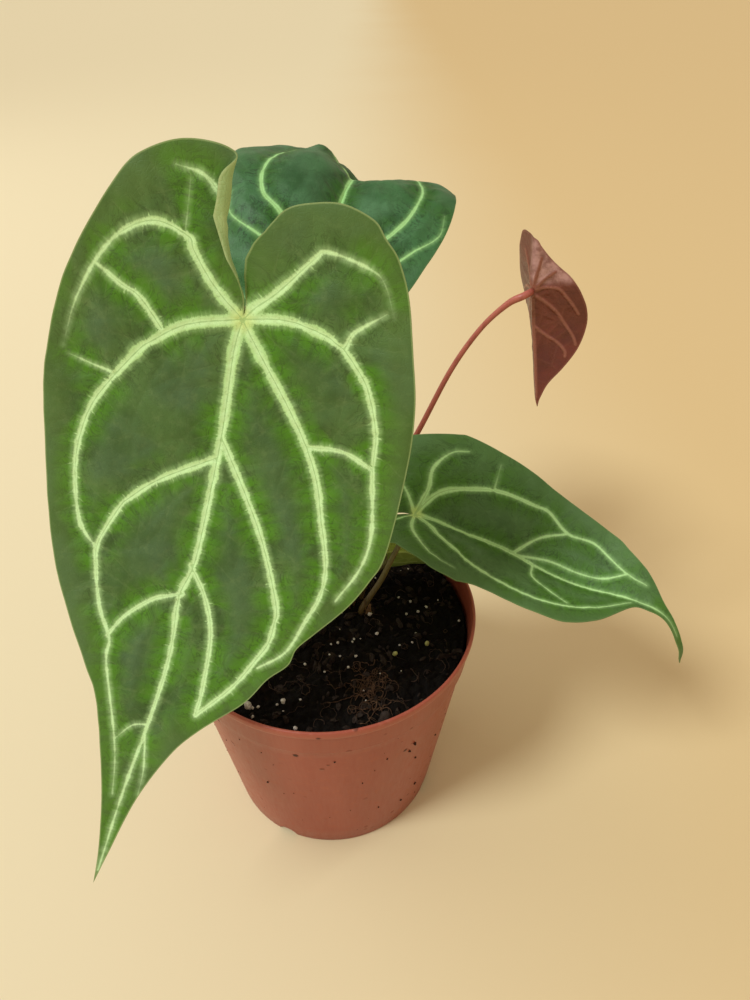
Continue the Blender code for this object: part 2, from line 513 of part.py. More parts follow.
class LeafShape:
    """Maps leaf millimetres (along the midrib, across it) to the world."""

    def __init__(self, leaf):
        self.leaf = leaf
        self.line = smooth_line(leaf["spine"], 24)
        run = np.concatenate([[0], np.cumsum(np.linalg.norm(np.diff(self.line, axis=0), axis=1))])
        self.run = run - run[24]
        self.length = self.run[-1]
        along = np.gradient(self.line, self.run, axis=0)
        self.along = along / np.linalg.norm(along, axis=1, keepdims=True)
        face = np.asarray(leaf["face"], float)
        face /= np.linalg.norm(face)
        up = face - (self.along @ face)[:, None] * self.along
        up /= np.linalg.norm(up, axis=1, keepdims=True)
        side = np.cross(self.along, up)
        turn = np.radians(np.interp(self.run, [0, self.length], leaf["twist"]))[:, None]
        self.up = up * np.cos(turn) + side * np.sin(turn)
        self.side = np.cross(self.along, self.up)
        self.veins = [(even_line(smooth_line(line, 6), 1.5), start, end)
                      for line, start, end in leaf["veins"]]

    def pick(self, a, values):
        return np.stack([np.interp(a, self.run, values[:, k]) for k in range(3)], -1)

    def rolled(self, a, b):
        """Carries the front leaf's turned-over lobe edge: the new b, and a height."""
        roll = self.leaf.get("roll")
        if not roll:
            return b, np.zeros_like(b)
        line = np.asarray(roll, float)
        edge = np.interp(a, line[:, 0], line[:, 1])
        inside = (a > line[0, 0]) & (a < line[-1, 0]) & (b < edge) & (b > -0.001)
        radius = self.leaf["roll_radius"]
        past = np.where(inside, edge - b, 0.0)
        turn = np.minimum(past / radius, math.radians(150))
        rest = np.maximum(past - radius * math.radians(150), 0)
        moved = edge - radius * np.sin(turn) - rest * math.cos(math.radians(150))
        return np.where(inside, moved, b), radius * (1 - np.cos(turn)) + rest * math.sin(math.radians(150))

    def lapped(self, a, b):
        """Carries the lobe edge that leans across the gap beside the junction, and a little down."""
        lap = self.leaf.get("lap")
        if not lap:
            return b, np.zeros_like(b)
        line = np.asarray(lap, float)
        shift = np.where(b < 0, np.interp(a, line[:, 0], line[:, 1], 0, 0) * np.exp(-(b / 4.0) ** 2), 0)
        return b + shift, -0.3 * shift

    def surface(self, a, b):
        """The middle of the blade in mm."""
        a, b = np.asarray(a, float), np.asarray(b, float)
        b, lift = self.rolled(a, b)
        b, drop = self.lapped(a, b)
        lift = lift + drop
        before = np.minimum(a - self.run[0], 0)[..., None]
        beyond = np.maximum(a - self.run[-1], 0)[..., None]
        base = self.pick(a, self.line) + before * self.along[0] + beyond * self.along[-1]
        stations = [-0.3 * self.length, 0, 0.5 * self.length, self.length]
        folds = [np.interp(a, stations, values) for values in self.leaf["fold"]]
        curls = [np.interp(a, stations, values) for values in self.leaf["curl"]]
        fold = np.radians(np.where(b >= 0, folds[0], folds[1]))
        curl = np.where(b >= 0, curls[0], curls[1])
        curl = np.where(np.abs(curl) < 1e-5, 1e-5, curl)
        reach = np.abs(b)
        angle = fold + curl * reach
        across = np.sign(b) * (np.sin(angle) - np.sin(fold)) / curl
        rise = (np.cos(fold) - np.cos(angle)) / curl
        height = rise + lift
        return base + self.pick(a, self.side) * across[..., None] + self.pick(a, self.up) * height[..., None]

    def nearest_vein(self, a, b):
        """For each point: the share 0..1 of being on a vein, and how far the next one is."""
        points = np.stack([a, b], -1)
        on_vein = np.zeros(len(points))
        away = np.full(len(points), 1e9)
        for line, start, end in self.veins:
            gaps = np.linalg.norm(points[:, None] - line[None], axis=2)
            near = gaps.argmin(1)
            gap = gaps[np.arange(len(points)), near]
            width = start + (end - start) * near / max(1, len(line) - 1)
            share = np.clip(1 - gap / (0.5 * width + 0.25), 0, 1) * np.minimum(1, width / 2.4)
            on_vein = np.maximum(on_vein, share)
            away = np.minimum(away, gap)
        return on_vein, away


def flat_mesh(leaf, shape):
    """Points and triangles of the flat blade: its outline, its veins' lines and an even fill."""
    spacing, fill = leaf["spacing"], leaf["fill"]
    plus = even_line(smooth_line(leaf["plus"], 6), spacing * 0.75)
    minus = even_line(smooth_line(leaf["minus"], 6), spacing * 0.75)
    outline = np.vstack([plus, minus[-2:0:-1]])
    points = [tuple(p) for p in outline]
    edges = [(k, (k + 1) % len(points)) for k in range(len(points))]

    def near_index(p, reach):
        gaps = [math.hypot(p[0] - q[0], p[1] - q[1]) for q in points]
        best = min(range(len(gaps)), key=gaps.__getitem__)
        return best if gaps[best] < reach else None

    def add(p, reach):
        found = near_index(p, reach)
        if found is None:
            points.append(tuple(p))
            found = len(points) - 1
        return found

    lines = []
    for line, start, end in leaf["veins"]:
        centre = even_line(smooth_line(line, 6), spacing)
        ids = [add(p, 1.3) for p in centre]
        lines.append((centre, start, end))
        edges += [(i, j) for i, j in zip(ids, ids[1:]) if i != j]
    if "roll" in leaf:
        roll = even_line(np.asarray(leaf["roll"], float), 5.0)
        for shift in (0.0, -1.6, -3.2):
            for p in roll[:-1]:
                add((p[0], p[1] + shift), 1.0)
    for centre, start, end in lines:
        for k, p in enumerate(centre):
            ahead = centre[min(k + 1, len(centre) - 1)] - centre[max(k - 1, 0)]
            ahead /= np.linalg.norm(ahead)
            share = k / (len(centre) - 1)
            half = max(0.5 * (start + (end - start) * share) + 0.3, 0.9)
            for sign in (1, -1):
                q = p + sign * half * np.array([-ahead[1], ahead[0]])
                if inside_outline(q, outline, 0.8):
                    add(q, 1.05)
    lows, highs = outline.min(0), outline.max(0)
    row = 0
    y = lows[1] + fill * 0.4
    while y < highs[1]:
        x = lows[0] + fill * (0.25 + 0.5 * (row % 2))
        while x < highs[0]:
            if inside_outline((x, y), outline, fill * 0.33) and near_index((x, y), fill * 0.5) is None:
                points.append((x, y))
            x += fill
        y += fill * 0.866
        row += 1
    result = delaunay_2d_cdt([Vector(p) for p in points], edges, [list(range(len(outline)))], 1, 1e-4)
    flat = np.array([tuple(v) for v in result[0]])
    faces = [tuple(f) for f in result[2] if len(f) == 3]
    return flat, faces


def inside_outline(p, outline, margin):
    """True if the point lies in the outline and at least the margin from it."""
    x, y = p
    a, b = outline, np.roll(outline, -1, axis=0)
    crosses = (a[:, 1] > y) != (b[:, 1] > y)
    with np.errstate(divide="ignore", invalid="ignore"):
        where = a[:, 0] + (y - a[:, 1]) / (b[:, 1] - a[:, 1]) * (b[:, 0] - a[:, 0])
    if np.count_nonzero(crosses & (x < where)) % 2 == 0:
        return False
    run = b - a
    share = np.clip(((p - a) * run).sum(1) / np.maximum((run ** 2).sum(1), 1e-9), 0, 1)
    return bool(np.linalg.norm(p - (a + share[:, None] * run), axis=1).min() > margin)


def make_blade(leaf):
    """A thin solid: both faces have the same triangles, ribs stand out below and grooves lie above."""
    shape = LeafShape(leaf)
    flat, faces = flat_mesh(leaf, shape)
    a, b = flat[:, 0], flat[:, 1]
    middle = shape.surface(a, b)
    on_vein, away = shape.nearest_vein(a, b)
    quilt = leaf["quilt"] * (1 - np.exp(-(away / QUILT_REACH) ** 2))
    quilt += leaf["ripple"] * np.sin(a / 7.0 + b / 5.0) * np.clip((np.abs(b) - 10) / 25, 0, 1)
    for at, side, reach, height in leaf.get("dents", []):
        quilt += height * np.exp(-((a - at) ** 2 + (b - side) ** 2) / reach ** 2)
    faces = facing_up(middle, faces, shape, a)
    normal = point_normals(middle, faces)
    top = middle + normal * (quilt + BLADE / 2 - GROOVE_DEPTH * on_vein)[:, None]
    below = middle + normal * (quilt - BLADE / 2 - RIB_DEPTH * on_vein)[:, None]
    count = len(middle)
    solid = list(faces) + [(f[2] + count, f[1] + count, f[0] + count) for f in faces]
    for i, j in border(faces):
        solid += [(j, i, i + count), (j, i + count, j + count)]
    return mesh_object(leaf["name"] + "_blade", np.vstack([top, below]), solid)


def facing_up(middle, faces, shape, a):
    """The same triangles, each turned to the blade's upper side."""
    up = shape.pick(a, shape.up)
    total = 0.0
    for f in faces:
        total += float(np.cross(middle[f[1]] - middle[f[0]], middle[f[2]] - middle[f[0]]) @ up[f[0]])
    return faces if total > 0 else [(f[2], f[1], f[0]) for f in faces]


def point_normals(points, faces):
    total = np.zeros_like(points)
    for f in faces:
        normal = np.cross(points[f[1]] - points[f[0]], points[f[2]] - points[f[0]])
        for k in f:
            total[k] += normal
    return total / np.maximum(np.linalg.norm(total, axis=1, keepdims=True), 1e-9)


def border(faces):
    seen = set()
    for f in faces:
        seen |= {(f[0], f[1]), (f[1], f[2]), (f[2], f[0])}
    return [(i, j) for i, j in seen if (j, i) not in seen]


def make_stalk(leaf):
    """A round stalk that stands in its hole in the soil and ends square under its blade."""
    name = leaf["name"]
    way, radii = STALKS[name]
    shape = LeafShape(leaf)
    joint = shape.surface(0.0, 0.0)
    up = shape.pick(0.0, shape.up)
    end = joint - up * (BLADE / 2 + RIB_DEPTH + GAP)
    line = smooth_line([*way, tuple(end - up * 4.5), tuple(end)], 12)
    length = np.linalg.norm(np.diff(line, axis=0), axis=1).sum()
    line = even_line(line, max(4.5, length / 22))
    ahead = np.gradient(line, axis=0)
    ahead[0] = (0, 0, 1)
    ahead[-1] = up
    ahead /= np.linalg.norm(ahead, axis=1, keepdims=True)
    share = np.linspace(0, 1, len(line))
    radius = np.interp(share, [0, 0.3, 0.85, 1], radii)
    points, faces = [], []
    across = np.array([1.0, 0.0, 0.0])
    for p, d, r in zip(line, ahead, radius):
        across = across - (across @ d) * d
        across /= np.linalg.norm(across)
        third = np.cross(d, across)
        for k in range(STALK_SIDES):
            angle = 2 * math.pi * k / STALK_SIDES
            points.append(p + r * (math.cos(angle) * across + math.sin(angle) * third))
    for j in range(len(line) - 1):
        for k in range(STALK_SIDES):
            nxt = (k + 1) % STALK_SIDES
            low, high = j * STALK_SIDES, (j + 1) * STALK_SIDES
            faces.append((low + k, low + nxt, high + nxt, high + k))
    faces.append(tuple(reversed(range(STALK_SIDES))))
    last = (len(line) - 1) * STALK_SIDES
    faces.append(tuple(range(last, last + STALK_SIDES)))
    return mesh_object(name + "_stalk", points, faces)


def centre_on_box():
    """Moves every object so that the origin lies under the middle of the plant's box."""
    nodes = [obj for obj in bpy.data.objects if not obj.hide_render]
    corners = np.array([v.co for obj in nodes for v in obj.data.vertices])
    middle = (corners.min(0) + corners.max(0)) / 2
    for obj in bpy.data.objects:
        obj.data.transform(Matrix.Translation((-middle[0], -middle[1], 0)))


def main():
    clear_scene()
    make_pot()
    make_soil()
    make_crown()
    for leaf in (FRONT, BACK, RIGHT, NEW, LOW):
        make_blade(leaf)
        make_stalk(leaf)
    centre_on_box()


main()
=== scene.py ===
"""Looks of the potted velvet-leaf anthurium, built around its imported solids.

Leaf sizes are in millimetres in the tables and in metres in the meshes. Each leaf is drawn flat
first: the first number runs along the midrib from the joint with the stalk, the second across it.
"""

import math
import random

import bmesh
import bpy
import numpy as np
from bpy.props import FloatProperty, FloatVectorProperty, IntProperty, PointerProperty
from bpy.types import Operator, Panel, PropertyGroup
from mathutils import Matrix, Vector, noise
from mathutils.geometry import delaunay_2d_cdt
from mathutils.kdtree import KDTree


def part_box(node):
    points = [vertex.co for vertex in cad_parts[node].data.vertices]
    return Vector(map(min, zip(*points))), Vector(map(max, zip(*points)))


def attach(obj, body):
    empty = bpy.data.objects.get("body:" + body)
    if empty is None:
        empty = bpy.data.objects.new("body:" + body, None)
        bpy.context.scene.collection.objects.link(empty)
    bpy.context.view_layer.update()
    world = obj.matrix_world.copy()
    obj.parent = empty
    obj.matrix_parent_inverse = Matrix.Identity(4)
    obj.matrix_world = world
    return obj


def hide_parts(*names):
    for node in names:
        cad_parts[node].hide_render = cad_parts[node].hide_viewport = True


bl_info = {
    "name": "Potted Velvet Anthurium",
    "version": (1, 0, 0),
    "blender": (4, 5, 0),
    "location": "3D View > Sidebar > Anthurium",
    "description": "Dresses a potted anthurium: pot, soil, crown, stalks and veined leaves",
    "category": "Object",
}

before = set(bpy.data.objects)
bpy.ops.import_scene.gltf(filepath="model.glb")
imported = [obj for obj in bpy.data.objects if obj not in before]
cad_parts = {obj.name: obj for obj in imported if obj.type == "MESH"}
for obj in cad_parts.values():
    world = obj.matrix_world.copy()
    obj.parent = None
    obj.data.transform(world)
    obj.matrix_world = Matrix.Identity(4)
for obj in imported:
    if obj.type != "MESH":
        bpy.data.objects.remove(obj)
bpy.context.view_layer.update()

MM = 0.001

# Every piece is built round the pot's axis, and moved to the pot's place when it is finished
POT_LOW, POT_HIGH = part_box("pot")
AXIS = Vector(((POT_LOW.x + POT_HIGH.x) / 2, (POT_LOW.y + POT_HIGH.y) / 2, 0))

# ---------------------------------------------------------------- leaf drawings

FRONT = {
    "name": "front",
    "spine": [(-7, -18, 261), (-16, -21, 232), (-24, -26, 201), (-35, -37, 167),
              (-45, -50, 138), (-57, -69, 104), (-73, -94, 68)],
    "face": (-0.19, -0.98, 0.1),
    "twist": (2, -2),
    "fold": ((2, 2, 0, 8), (2, 2, 0, 8)),
    "curl": ((0.0008, 0.0008, -0.0008, 0), (0.0008, 0.0008, -0.0008, 0)),
    "quilt": 1.0,
    "pucker": 0.28,
    "plus": [(-1.2, 0), (-6, 0.6), (-12, 1.6), (-20, 3), (-28, 4.2), (-35, 5), (-39, 9), (-40, 15),
             (-38, 24), (-33, 32), (-27, 37), (-10, 45), (5, 51), (18, 54), (34, 55), (54, 52), (73, 48),
             (86, 44), (99, 38), (121, 24), (129, 19), (145, 13), (162, 7), (178, 2.5), (190.6, 0)],
    "minus": [(-1.2, 0), (-3, -0.8), (-10, -1.5), (-17, -1.2), (-24, -1.6), (-31, -5), (-35, -12),
              (-37, -19), (-36, -27), (-33, -31), (-29, -36), (-20, -42), (-2, -49), (10, -52),
              (25, -54), (53, -56), (64, -54), (75, -50), (87, -43), (94, -39), (100, -38),
              (107, -33), (117, -28), (130, -17),
              (141, -10), (159, -4), (180, -1.2), (190.6, 0)],
    "roll": [(-41, 10.3), (-33, 10.8), (-24, 10.2), (-15, 6.9), (-6, 1.7), (-3, 0)],
    "roll_radius": 1.7,
    "lap": [(-28, 0), (-24, 0.8), (-20, 2.9), (-15.5, 4.4), (-11, 4.3), (-7, 2.4), (-3.5, 0.8), (-1.2, 0)],
    "veins": [
        ([(0, 0), (13, 1), (45, 0), (76, -1), (90, 1), (112, -1), (153, 1), (186, 0)], 4.0, 0.8),
        ([(0, 0), (-6, 9), (-13, 16), (-16, 18), (-17, 27), (-12, 35), (-4, 41), (9, 47), (22, 50)],
         4.0, 0.25),
        ([(-29, 12), (-32, 17), (-32, 24)], 2.4, 0.5),
        ([(-31, 20), (-17, 19)], 0.3, 0.6),
        ([(-2, 41), (1, 34), (2, 30), (4, 27), (9, 22)], 1.2, 2.6),
        ([(0, 0), (6, 15), (13, 24), (17, 28), (28, 35), (39, 40), (51, 42), (63, 41), (76, 37), (82, 31)],
         3.9, 1.4),
        ([(26, 34), (25, 42), (24, 48)], 1.4, 0.5),
        ([(42, 0), (54, 15), (63, 23), (68, 26), (81, 30), (88, 29), (95, 27), (102, 24), (110, 19),
          (118, 18), (145, 8), (160, 4)], 3.0, 0.6),
        ([(88, 0), (90, 4), (93, 9), (101, 16), (109, 20)], 1.9, 1.5),
        ([(134, 0), (136, 5), (142, 9)], 1.2, 0.6),
        ([(0, 0), (-9, -7), (-22, -15), (-25, -18), (-25, -29), (-23, -34), (-16, -39)], 3.6, 0.15),
        ([(0, 0), (-4, -12), (-4, -22), (-3, -26), (-1, -30), (5, -36), (10, -39), (20, -43), (31, -45),
          (49, -50), (61, -50), (74, -46)], 3.8, 0.8),
        ([(-2, -29), (-7, -30), (-10, -32), (-16, -37)], 2.2, 0.6),
        ([(0, 0), (32, -26), (51, -35), (64, -40), (74, -41), (84, -39), (96, -36), (104, -29)], 4.2, 1.0),
        ([(30, -25), (28, -35), (30, -44)], 1.8, 1.6),
        ([(36, 0), (44, -6), (52, -12), (64, -20), (82, -29), (88, -30), (95, -30), (101, -28), (113, -23),
          (126, -14)], 3.0, 1.8),
        ([(78, 0), (87, -7), (99, -12), (117, -14), (126, -14)], 2.1, 1.8),
        ([(138, 0), (149, -3), (158, -4)], 1.2, 0.5),
    ],
    "step": 0.8,
    "seed": 11,
}

RIGHT = {
    "name": "right",
    "spine": [(15, 18, 131), (35, 15, 135), (57, 11, 128), (76, 2, 123), (97, -10, 121), (114, -20, 123),
              (124, -25, 120), (130, -29, 110), (132, -30, 101)],
    "face": (0.09, -0.27, 0.96),
    "twist": (0, -2),
    "fold": ((26, 26, 22, 16), (26, 26, 22, 16)),
    "curl": ((-0.0005, -0.0005, 0.0003, -0.0003), (-0.0005, -0.0005, 0.0003, -0.0003)),
    "quilt": 0.8,
    "pucker": 0.22,
    "plus": [(-1.2, 0), (-8, 0.4), (-15, 0.6), (-21, 2.2), (-24, 8), (-22, 16), (-16, 20), (-10, 22),
             (-5, 23), (-3, 25), (4, 32), (9, 35), (20, 35), (40, 30), (60, 29), (72, 26), (81, 19),
             (89, 4.5), (95, 2.6), (101, 1.8), (110, 1.6), (118, 1.2), (122.8, 0)],
    "minus": [(-1.2, 0), (-4, -0.4), (-8, -0.5), (-15, -0.7), (-21, -2.6), (-24, -10), (-22.5, -22),
              (-15, -29),
              (-3, -32), (7, -36), (11, -37), (23, -36), (38, -33), (54, -29), (75, -23), (83, -18),
              (92, -10.5), (98, -4), (104, -2), (112, -1.6), (118, -1.2), (122.8, 0)],
    "veins": [
        ([(0, 0), (20, 1), (39, -1), (60, 1), (80, 0), (93, 0), (110, 0)], 3.0, 0.6),
        ([(0, 0), (2, -7), (3, -12), (3, -20), (7, -28), (12, -31)], 2.6, 0.6),
        ([(0, 0), (7, -11), (17, -17), (28, -21), (40, -22), (47, -22), (57, -17), (69, -17), (84, -9),
          (91, -7)], 3.0, 0.7),
        ([(25, -20), (24, -31)], 0.8, 0.4),
        ([(41, -1), (48, -11), (57, -17)], 1.8, 1.2),
        ([(43, -1), (55, -4), (66, -4), (76, -5), (84, -9)], 1.4, 0.9),
        ([(0, 0), (6, 6), (11, 12), (22, 18), (29, 20), (42, 21), (55, 21), (66, 18), (79, 11), (88, 2)],
         3.0, 0.7),
        ([(50, 1), (52, 8), (60, 12), (68, 15)], 1.4, 0.8),
        ([(0, 0), (0, 11), (5, 23), (10, 27), (18, 28)], 2.0, 0.5),
        ([(0, 0), (-8, 6), (-14, 11), (-15, 16), (-9, 19)], 1.6, 0.5),
        ([(0, 0), (-6, -13), (-14, -15), (-18, -19), (-15, -24)], 1.6, 0.5),
    ],
    "step": 0.75,
    "seed": 23,
}

BACK = {
    "name": "back",
    "spine": [(-6, 38, 200), (0, 52, 219), (6, 69, 232), (11, 92, 239), (16, 122, 226), (20, 148, 197),
              (23, 166, 155)],
    "face": (0.03, 0.05, 1.0),
    "twist": (0, 0),
    "fold": ((-8, -6, 8, 6), (20, 40, 38, 15)),
    "curl": ((-0.004, -0.003, -0.012, -0.006), (-0.008, -0.020, -0.020, -0.006)),
    "quilt": 1.6,
    "pucker": 0.5,
    "dents": [(49, -36, 13, -4.5), (58, -17, 6, 3), (62, -3, 7, -4), (56, 8, 8, -3.5), (57, 26, 9, 1.5)],
    "plus": [(-1.2, 0), (-8, 0.8), (-16, 1.6), (-23, 4), (-26, 9), (-26.5, 15), (-23, 21.5), (-16, 27),
             (-6, 31.8), (6, 35.8), (18, 38.8), (30, 40.8), (42, 41), (54, 39.2), (66, 36.5), (80, 33),
             (93, 29.5), (107, 26), (120, 21), (134, 15), (147, 9), (158, 4), (167, 0)],
    "minus": [(-1.2, 0), (-8, -0.8), (-16, -1.8), (-23, -4.5), (-26, -10), (-27, -17), (-23, -25),
              (-16, -31), (-6, -37), (8, -42), (22, -45.5), (36, -47), (50, -46.5), (64, -43),
              (78, -38), (92, -33), (106, -28), (120, -22), (134, -16), (147, -10), (158, -4.5), (167, 0)],
    "veins": [
        ([(0, 0), (22, -0.8), (45, 0), (60, -0.5), (90, 0.5), (120, 0), (160, 0)], 3.4, 0.7),
        ([(0, 0), (7, 11), (14, 18), (18, 21), (26, 25), (33, 27), (42, 28), (50, 26), (60, 22)], 2.9, 0.9),
        ([(0, 0), (1, 12), (6, 24), (14, 31), (16, 33), (23, 38), (32, 38)], 2.4, 0.5),
        ([(0, 0), (-10, 8), (-18, 12), (-21, 17), (-15, 23)], 2.0, 0.5),
        ([(46, 0), (56, 9), (68, 17), (84, 22), (98, 20), (112, 16)], 2.4, 0.8),
        ([(76, 0), (88, 9), (102, 14), (116, 14), (130, 9)], 1.8, 0.6),
        ([(0, 0), (5, -8), (10, -15), (15, -22), (19, -28), (27, -31), (37, -31), (48, -28), (60, -24)],
         3.0, 0.9),
        ([(0, 0), (-3, -10), (0, -18), (3, -22), (9, -37), (18, -40)], 2.4, 0.5),
        ([(0, 0), (-10, -9), (-18, -13), (-21, -18), (-15, -26)], 2.0, 0.5),
        ([(46, 0), (56, -11), (68, -20), (84, -26), (98, -23), (112, -18)], 2.4, 0.8),
        ([(76, 0), (88, -10), (102, -16), (116, -16), (130, -10)], 1.8, 0.6),
    ],
    "step": 0.9,
    "seed": 35,
}

NEW = {
    "name": "new",
    "spine": [(74, 45, 232), (76, 46, 213), (78, 46, 199), (80, 43, 185), (82, 38, 170)],
    "face": (0.75, 0.66, 0.1),
    "twist": (0, 0),
    "fold": ((40, 34, 36, 30), (20, 30, 50, 40)),
    "curl": ((0.004, 0.004, 0.006, 0), (0.004, 0.004, 0.006, 0)),
    "quilt": 0.4,
    "pucker": 0.12,
    "plus": [(-18.8, 0), (-18.2, 1.2), (-16, 2.4), (-13, 4.6), (-10.5, 6.8), (-8, 9.4), (-5.5, 12.2),
             (-2.5, 14.6), (1.5, 16.8), (8, 18.9), (15, 18.9), (23, 16), (30, 10.5), (36, 4.5), (41, 1.5),
             (44.6, 0)],
    "minus": [(-18.8, 0), (-19.6, -4), (-19.2, -8.4), (-15, -10), (-9, -11.5), (-3, -13), (6, -13.5),
              (14, -11), (22, -7.5), (30, -4), (37, -2), (44.6, 0)],
    "veins": [
        ([(0, 0), (22, 0.3), (41, 0)], 1.4, 0.5),
        ([(0, 0), (-4, 3.6), (-7, 7.5)], 0.9, 0.4),
        ([(0, 0), (-6, 1.2), (-12, 2.4)], 1.0, 0.4),
        ([(0, 0), (-1, 2.5), (-1.2, 6), (-0.6, 9), (2.3, 11.5), (6, 14), (10, 16)], 1.2, 0.4),
        ([(1, 0), (4, 4), (8, 8), (13, 11), (18.5, 14), (22, 15)], 1.1, 0.4),
        ([(13, 0), (17, 4), (20.5, 8.5), (24, 11), (26, 11)], 0.9, 0.4),
        ([(0, 0), (-7, -3), (-13, -6)], 1.0, 0.4),
        ([(0, 0), (0, -5), (3, -9), (9, -10.5)], 1.0, 0.4),
        ([(1, 0), (10, -5), (18, -7)], 0.9, 0.4),
    ],
    "step": 0.5,
    "seed": 47,
}

LOW = {
    "name": "low",
    "spine": [(13, 18, 113), (23, 19, 112), (36, 21, 110), (48, 23, 107), (58, 26, 105)],
    "face": (0.0, 0.96, 0.28),
    "twist": (0, 0),
    "fold": ((6, 6, 10, 6), (6, 6, 10, 6)),
    "curl": ((0.002, 0.002, 0.004, 0), (0.002, 0.002, 0.004, 0)),
    "quilt": 0.4,
    "pucker": 0.12,
    "plus": [(-1, 0), (-7, 1.2), (-9, 5), (-9, 10), (-5, 14), (1, 16.5), (9, 17.5), (17, 16), (24, 12.5),
             (30, 8), (34, 3.5), (36.4, 0)],
    "minus": [(-1, 0), (-7, -1.2), (-9, -5), (-9, -10), (-5, -14), (1, -16.5), (9, -17.5), (17, -15.5),
              (24, -11.5), (30, -7), (34, -3), (36.4, 0)],
    "veins": [
        ([(0, 0), (18, 0.3), (33, 0)], 1.4, 0.5),
        ([(0, 0), (2, 7), (9, 12), (18, 11)], 1.1, 0.5),
        ([(0, 0), (-5, 5), (-7, 9)], 0.9, 0.5),
        ([(10, 0), (20, 6), (27, 5)], 0.9, 0.5),
        ([(0, 0), (2, -7), (9, -12), (18, -11)], 1.1, 0.5),
        ([(0, 0), (-5, -5), (-7, -9)], 0.9, 0.5),
        ([(10, 0), (20, -6), (26, -5)], 0.9, 0.5),
    ],
    "step": 0.65,
    "seed": 59,
}

LEAVES = (FRONT, RIGHT, BACK, NEW, LOW)

# Each stalk: its way from the soil to under its blade, and its radii from base to top
STALKS = {
    "front": ([(2.5, 5, 84), (2.5, 5, 90), (2.5, 5.2, 97), (1, 8, 130), (-3, 8, 172), (-10, -2, 212)],
              (2.1, 1.5, 1.3, 1.8)),
    "right": ([(14, 4, 84), (14, 4, 89), (14.3, 4.2, 94), (22, 8.4, 106), (28, 12, 119)],
              (1.6, 1.2, 1.1, 1.5)),
    "back": ([(3.5, 16, 84), (3.5, 16, 90), (3.5, 16.2, 97), (3, 24, 135), (2, 40, 178), (1, 55, 205)],
             (2.0, 1.5, 1.3, 1.7)),
    "new": ([(7, 21.5, 84), (7, 21.5, 90), (7.2, 21.8, 97), (14, 31, 115), (26, 39, 135), (37, 45, 154),
             (48.6, 46.3, 181), (58.5, 46.5, 198), (67, 44.5, 208.5)], (1.8, 1.2, 1.0, 1.2)),
    "low": ([(13.5, 11.5, 84), (13.5, 11.5, 89), (13.7, 11.6, 94), (18, 12.5, 104)], (1.4, 1.0, 0.9, 1.1)),
}

# The photo's view: where the camera stands from the pot's foot, in metres, and its tilt in degrees
CAMERA_PLACE = (0.0195, -0.2033, 0.3134)
CAMERA_TILT = 51.9

# Pot, in mm: collar height and step, reach of the lip past the collar, radius of its bead, foot and floor
COLLAR = 15.0
COLLAR_STEP = 0.9
LIP_REACH = 1.9
LIP_BEAD = 0.65
FOOT_INNER = 39.0
FLOOR_LOW = 2.4
FLOOR_TOP = 3.8
DRAIN_RING = 20.0
DRAIN_RADIUS = 4.5
NOTCH_RADIUS = 4.2
NOTCH_AZIMUTH = 246.0

# Blade tissue, in mm
BLADE = 0.5
GROOVE = 0.3
RIB = 0.62
CREASE = 1.6


# ---------------------------------------------------------------- settings

def metres(label, note, default, low=0.0, high=1.0):
    return FloatProperty(name=label, description=note, default=default, min=low, max=high, precision=4,
                         subtype="DISTANCE", unit="LENGTH")


def amount(label, note, default):
    return FloatProperty(name=label, description=note, default=default, min=0)


def tint(label, note, default):
    return FloatVectorProperty(name=label, description=note, default=default, size=3, min=0, max=1,
                               subtype="COLOR")


class PotSettings(PropertyGroup):
    rim_radius: metres("Rim radius", "Outer radius of the lip", (POT_HIGH.x - POT_LOW.x) / 2)
    height: metres("Height", "From the foot ring to the lip", POT_HIGH.z)
    base_radius: metres("Base radius", "Outer radius at the foot", 0.046)
    wall: metres("Wall", "Thickness of the plastic", 0.0011)
    colour: tint("Plastic", "Body of the pot", (0.300, 0.055, 0.030))
    worn: tint("Worn plastic", "Lip, edges and dusty places", (0.385, 0.098, 0.062))


class SoilSettings(PropertyGroup):
    level: metres("Level", "Height of the soil in the middle", 0.092)
    clod_height: metres("Clod height", "How far clods stand up", 0.0016)
    peat: tint("Peat", "Wet peat", (0.0024, 0.0017, 0.0011))
    bark: tint("Bark", "Rotted bark chips", (0.020, 0.011, 0.0065))
    perlite: tint("Perlite", "Expanded white grains", (0.72, 0.70, 0.66))
    grains: IntProperty(name="Grains", description="Small perlite grains", default=70, min=0, max=400)
    chips: IntProperty(name="Chips", description="Bark crumbs", default=420, min=0, max=1500)
    fibres: IntProperty(name="Fibres", description="Coir fibres", default=130, min=0, max=600)


class LeafSettings(PropertyGroup):
    vein: tint("Vein", "Pale band along the main veins", (0.64, 0.95, 0.48))
    velvet: tint("Velvet", "Dull green between the veins", (0.080, 0.172, 0.040))
    vivid: tint("Vivid", "Bright green beside the veins", (0.072, 0.240, 0.004))
    margin: tint("Margin", "Yellower green near the edge", (0.095, 0.185, 0.030))
    underside: tint("Underside", "Pale olive back of a blade", (0.50, 0.72, 0.34))
    bronze: tint("Bronze", "The youngest blade", (0.150, 0.025, 0.013))


class StageSettings(PropertyGroup):
    floor: tint("Floor", "Pale floor", (0.81, 0.74, 0.51))
    # Painted shade: the floor's darker, warmer colour on its right side, standing in for the light falling
    # off.
    shaded_floor: tint("Deeper floor", "The floor's warmer right side", (0.71, 0.55, 0.29))
    key_power: amount("Key light", "Strength of the main soft light", 1.85)
    fill_power: amount("Fill light", "Power of the weak side light", 5.0)
    lens: amount("Lens", "Focal length on a 36 mm wide film", 26.0)


# ---------------------------------------------------------------- curves and meshes

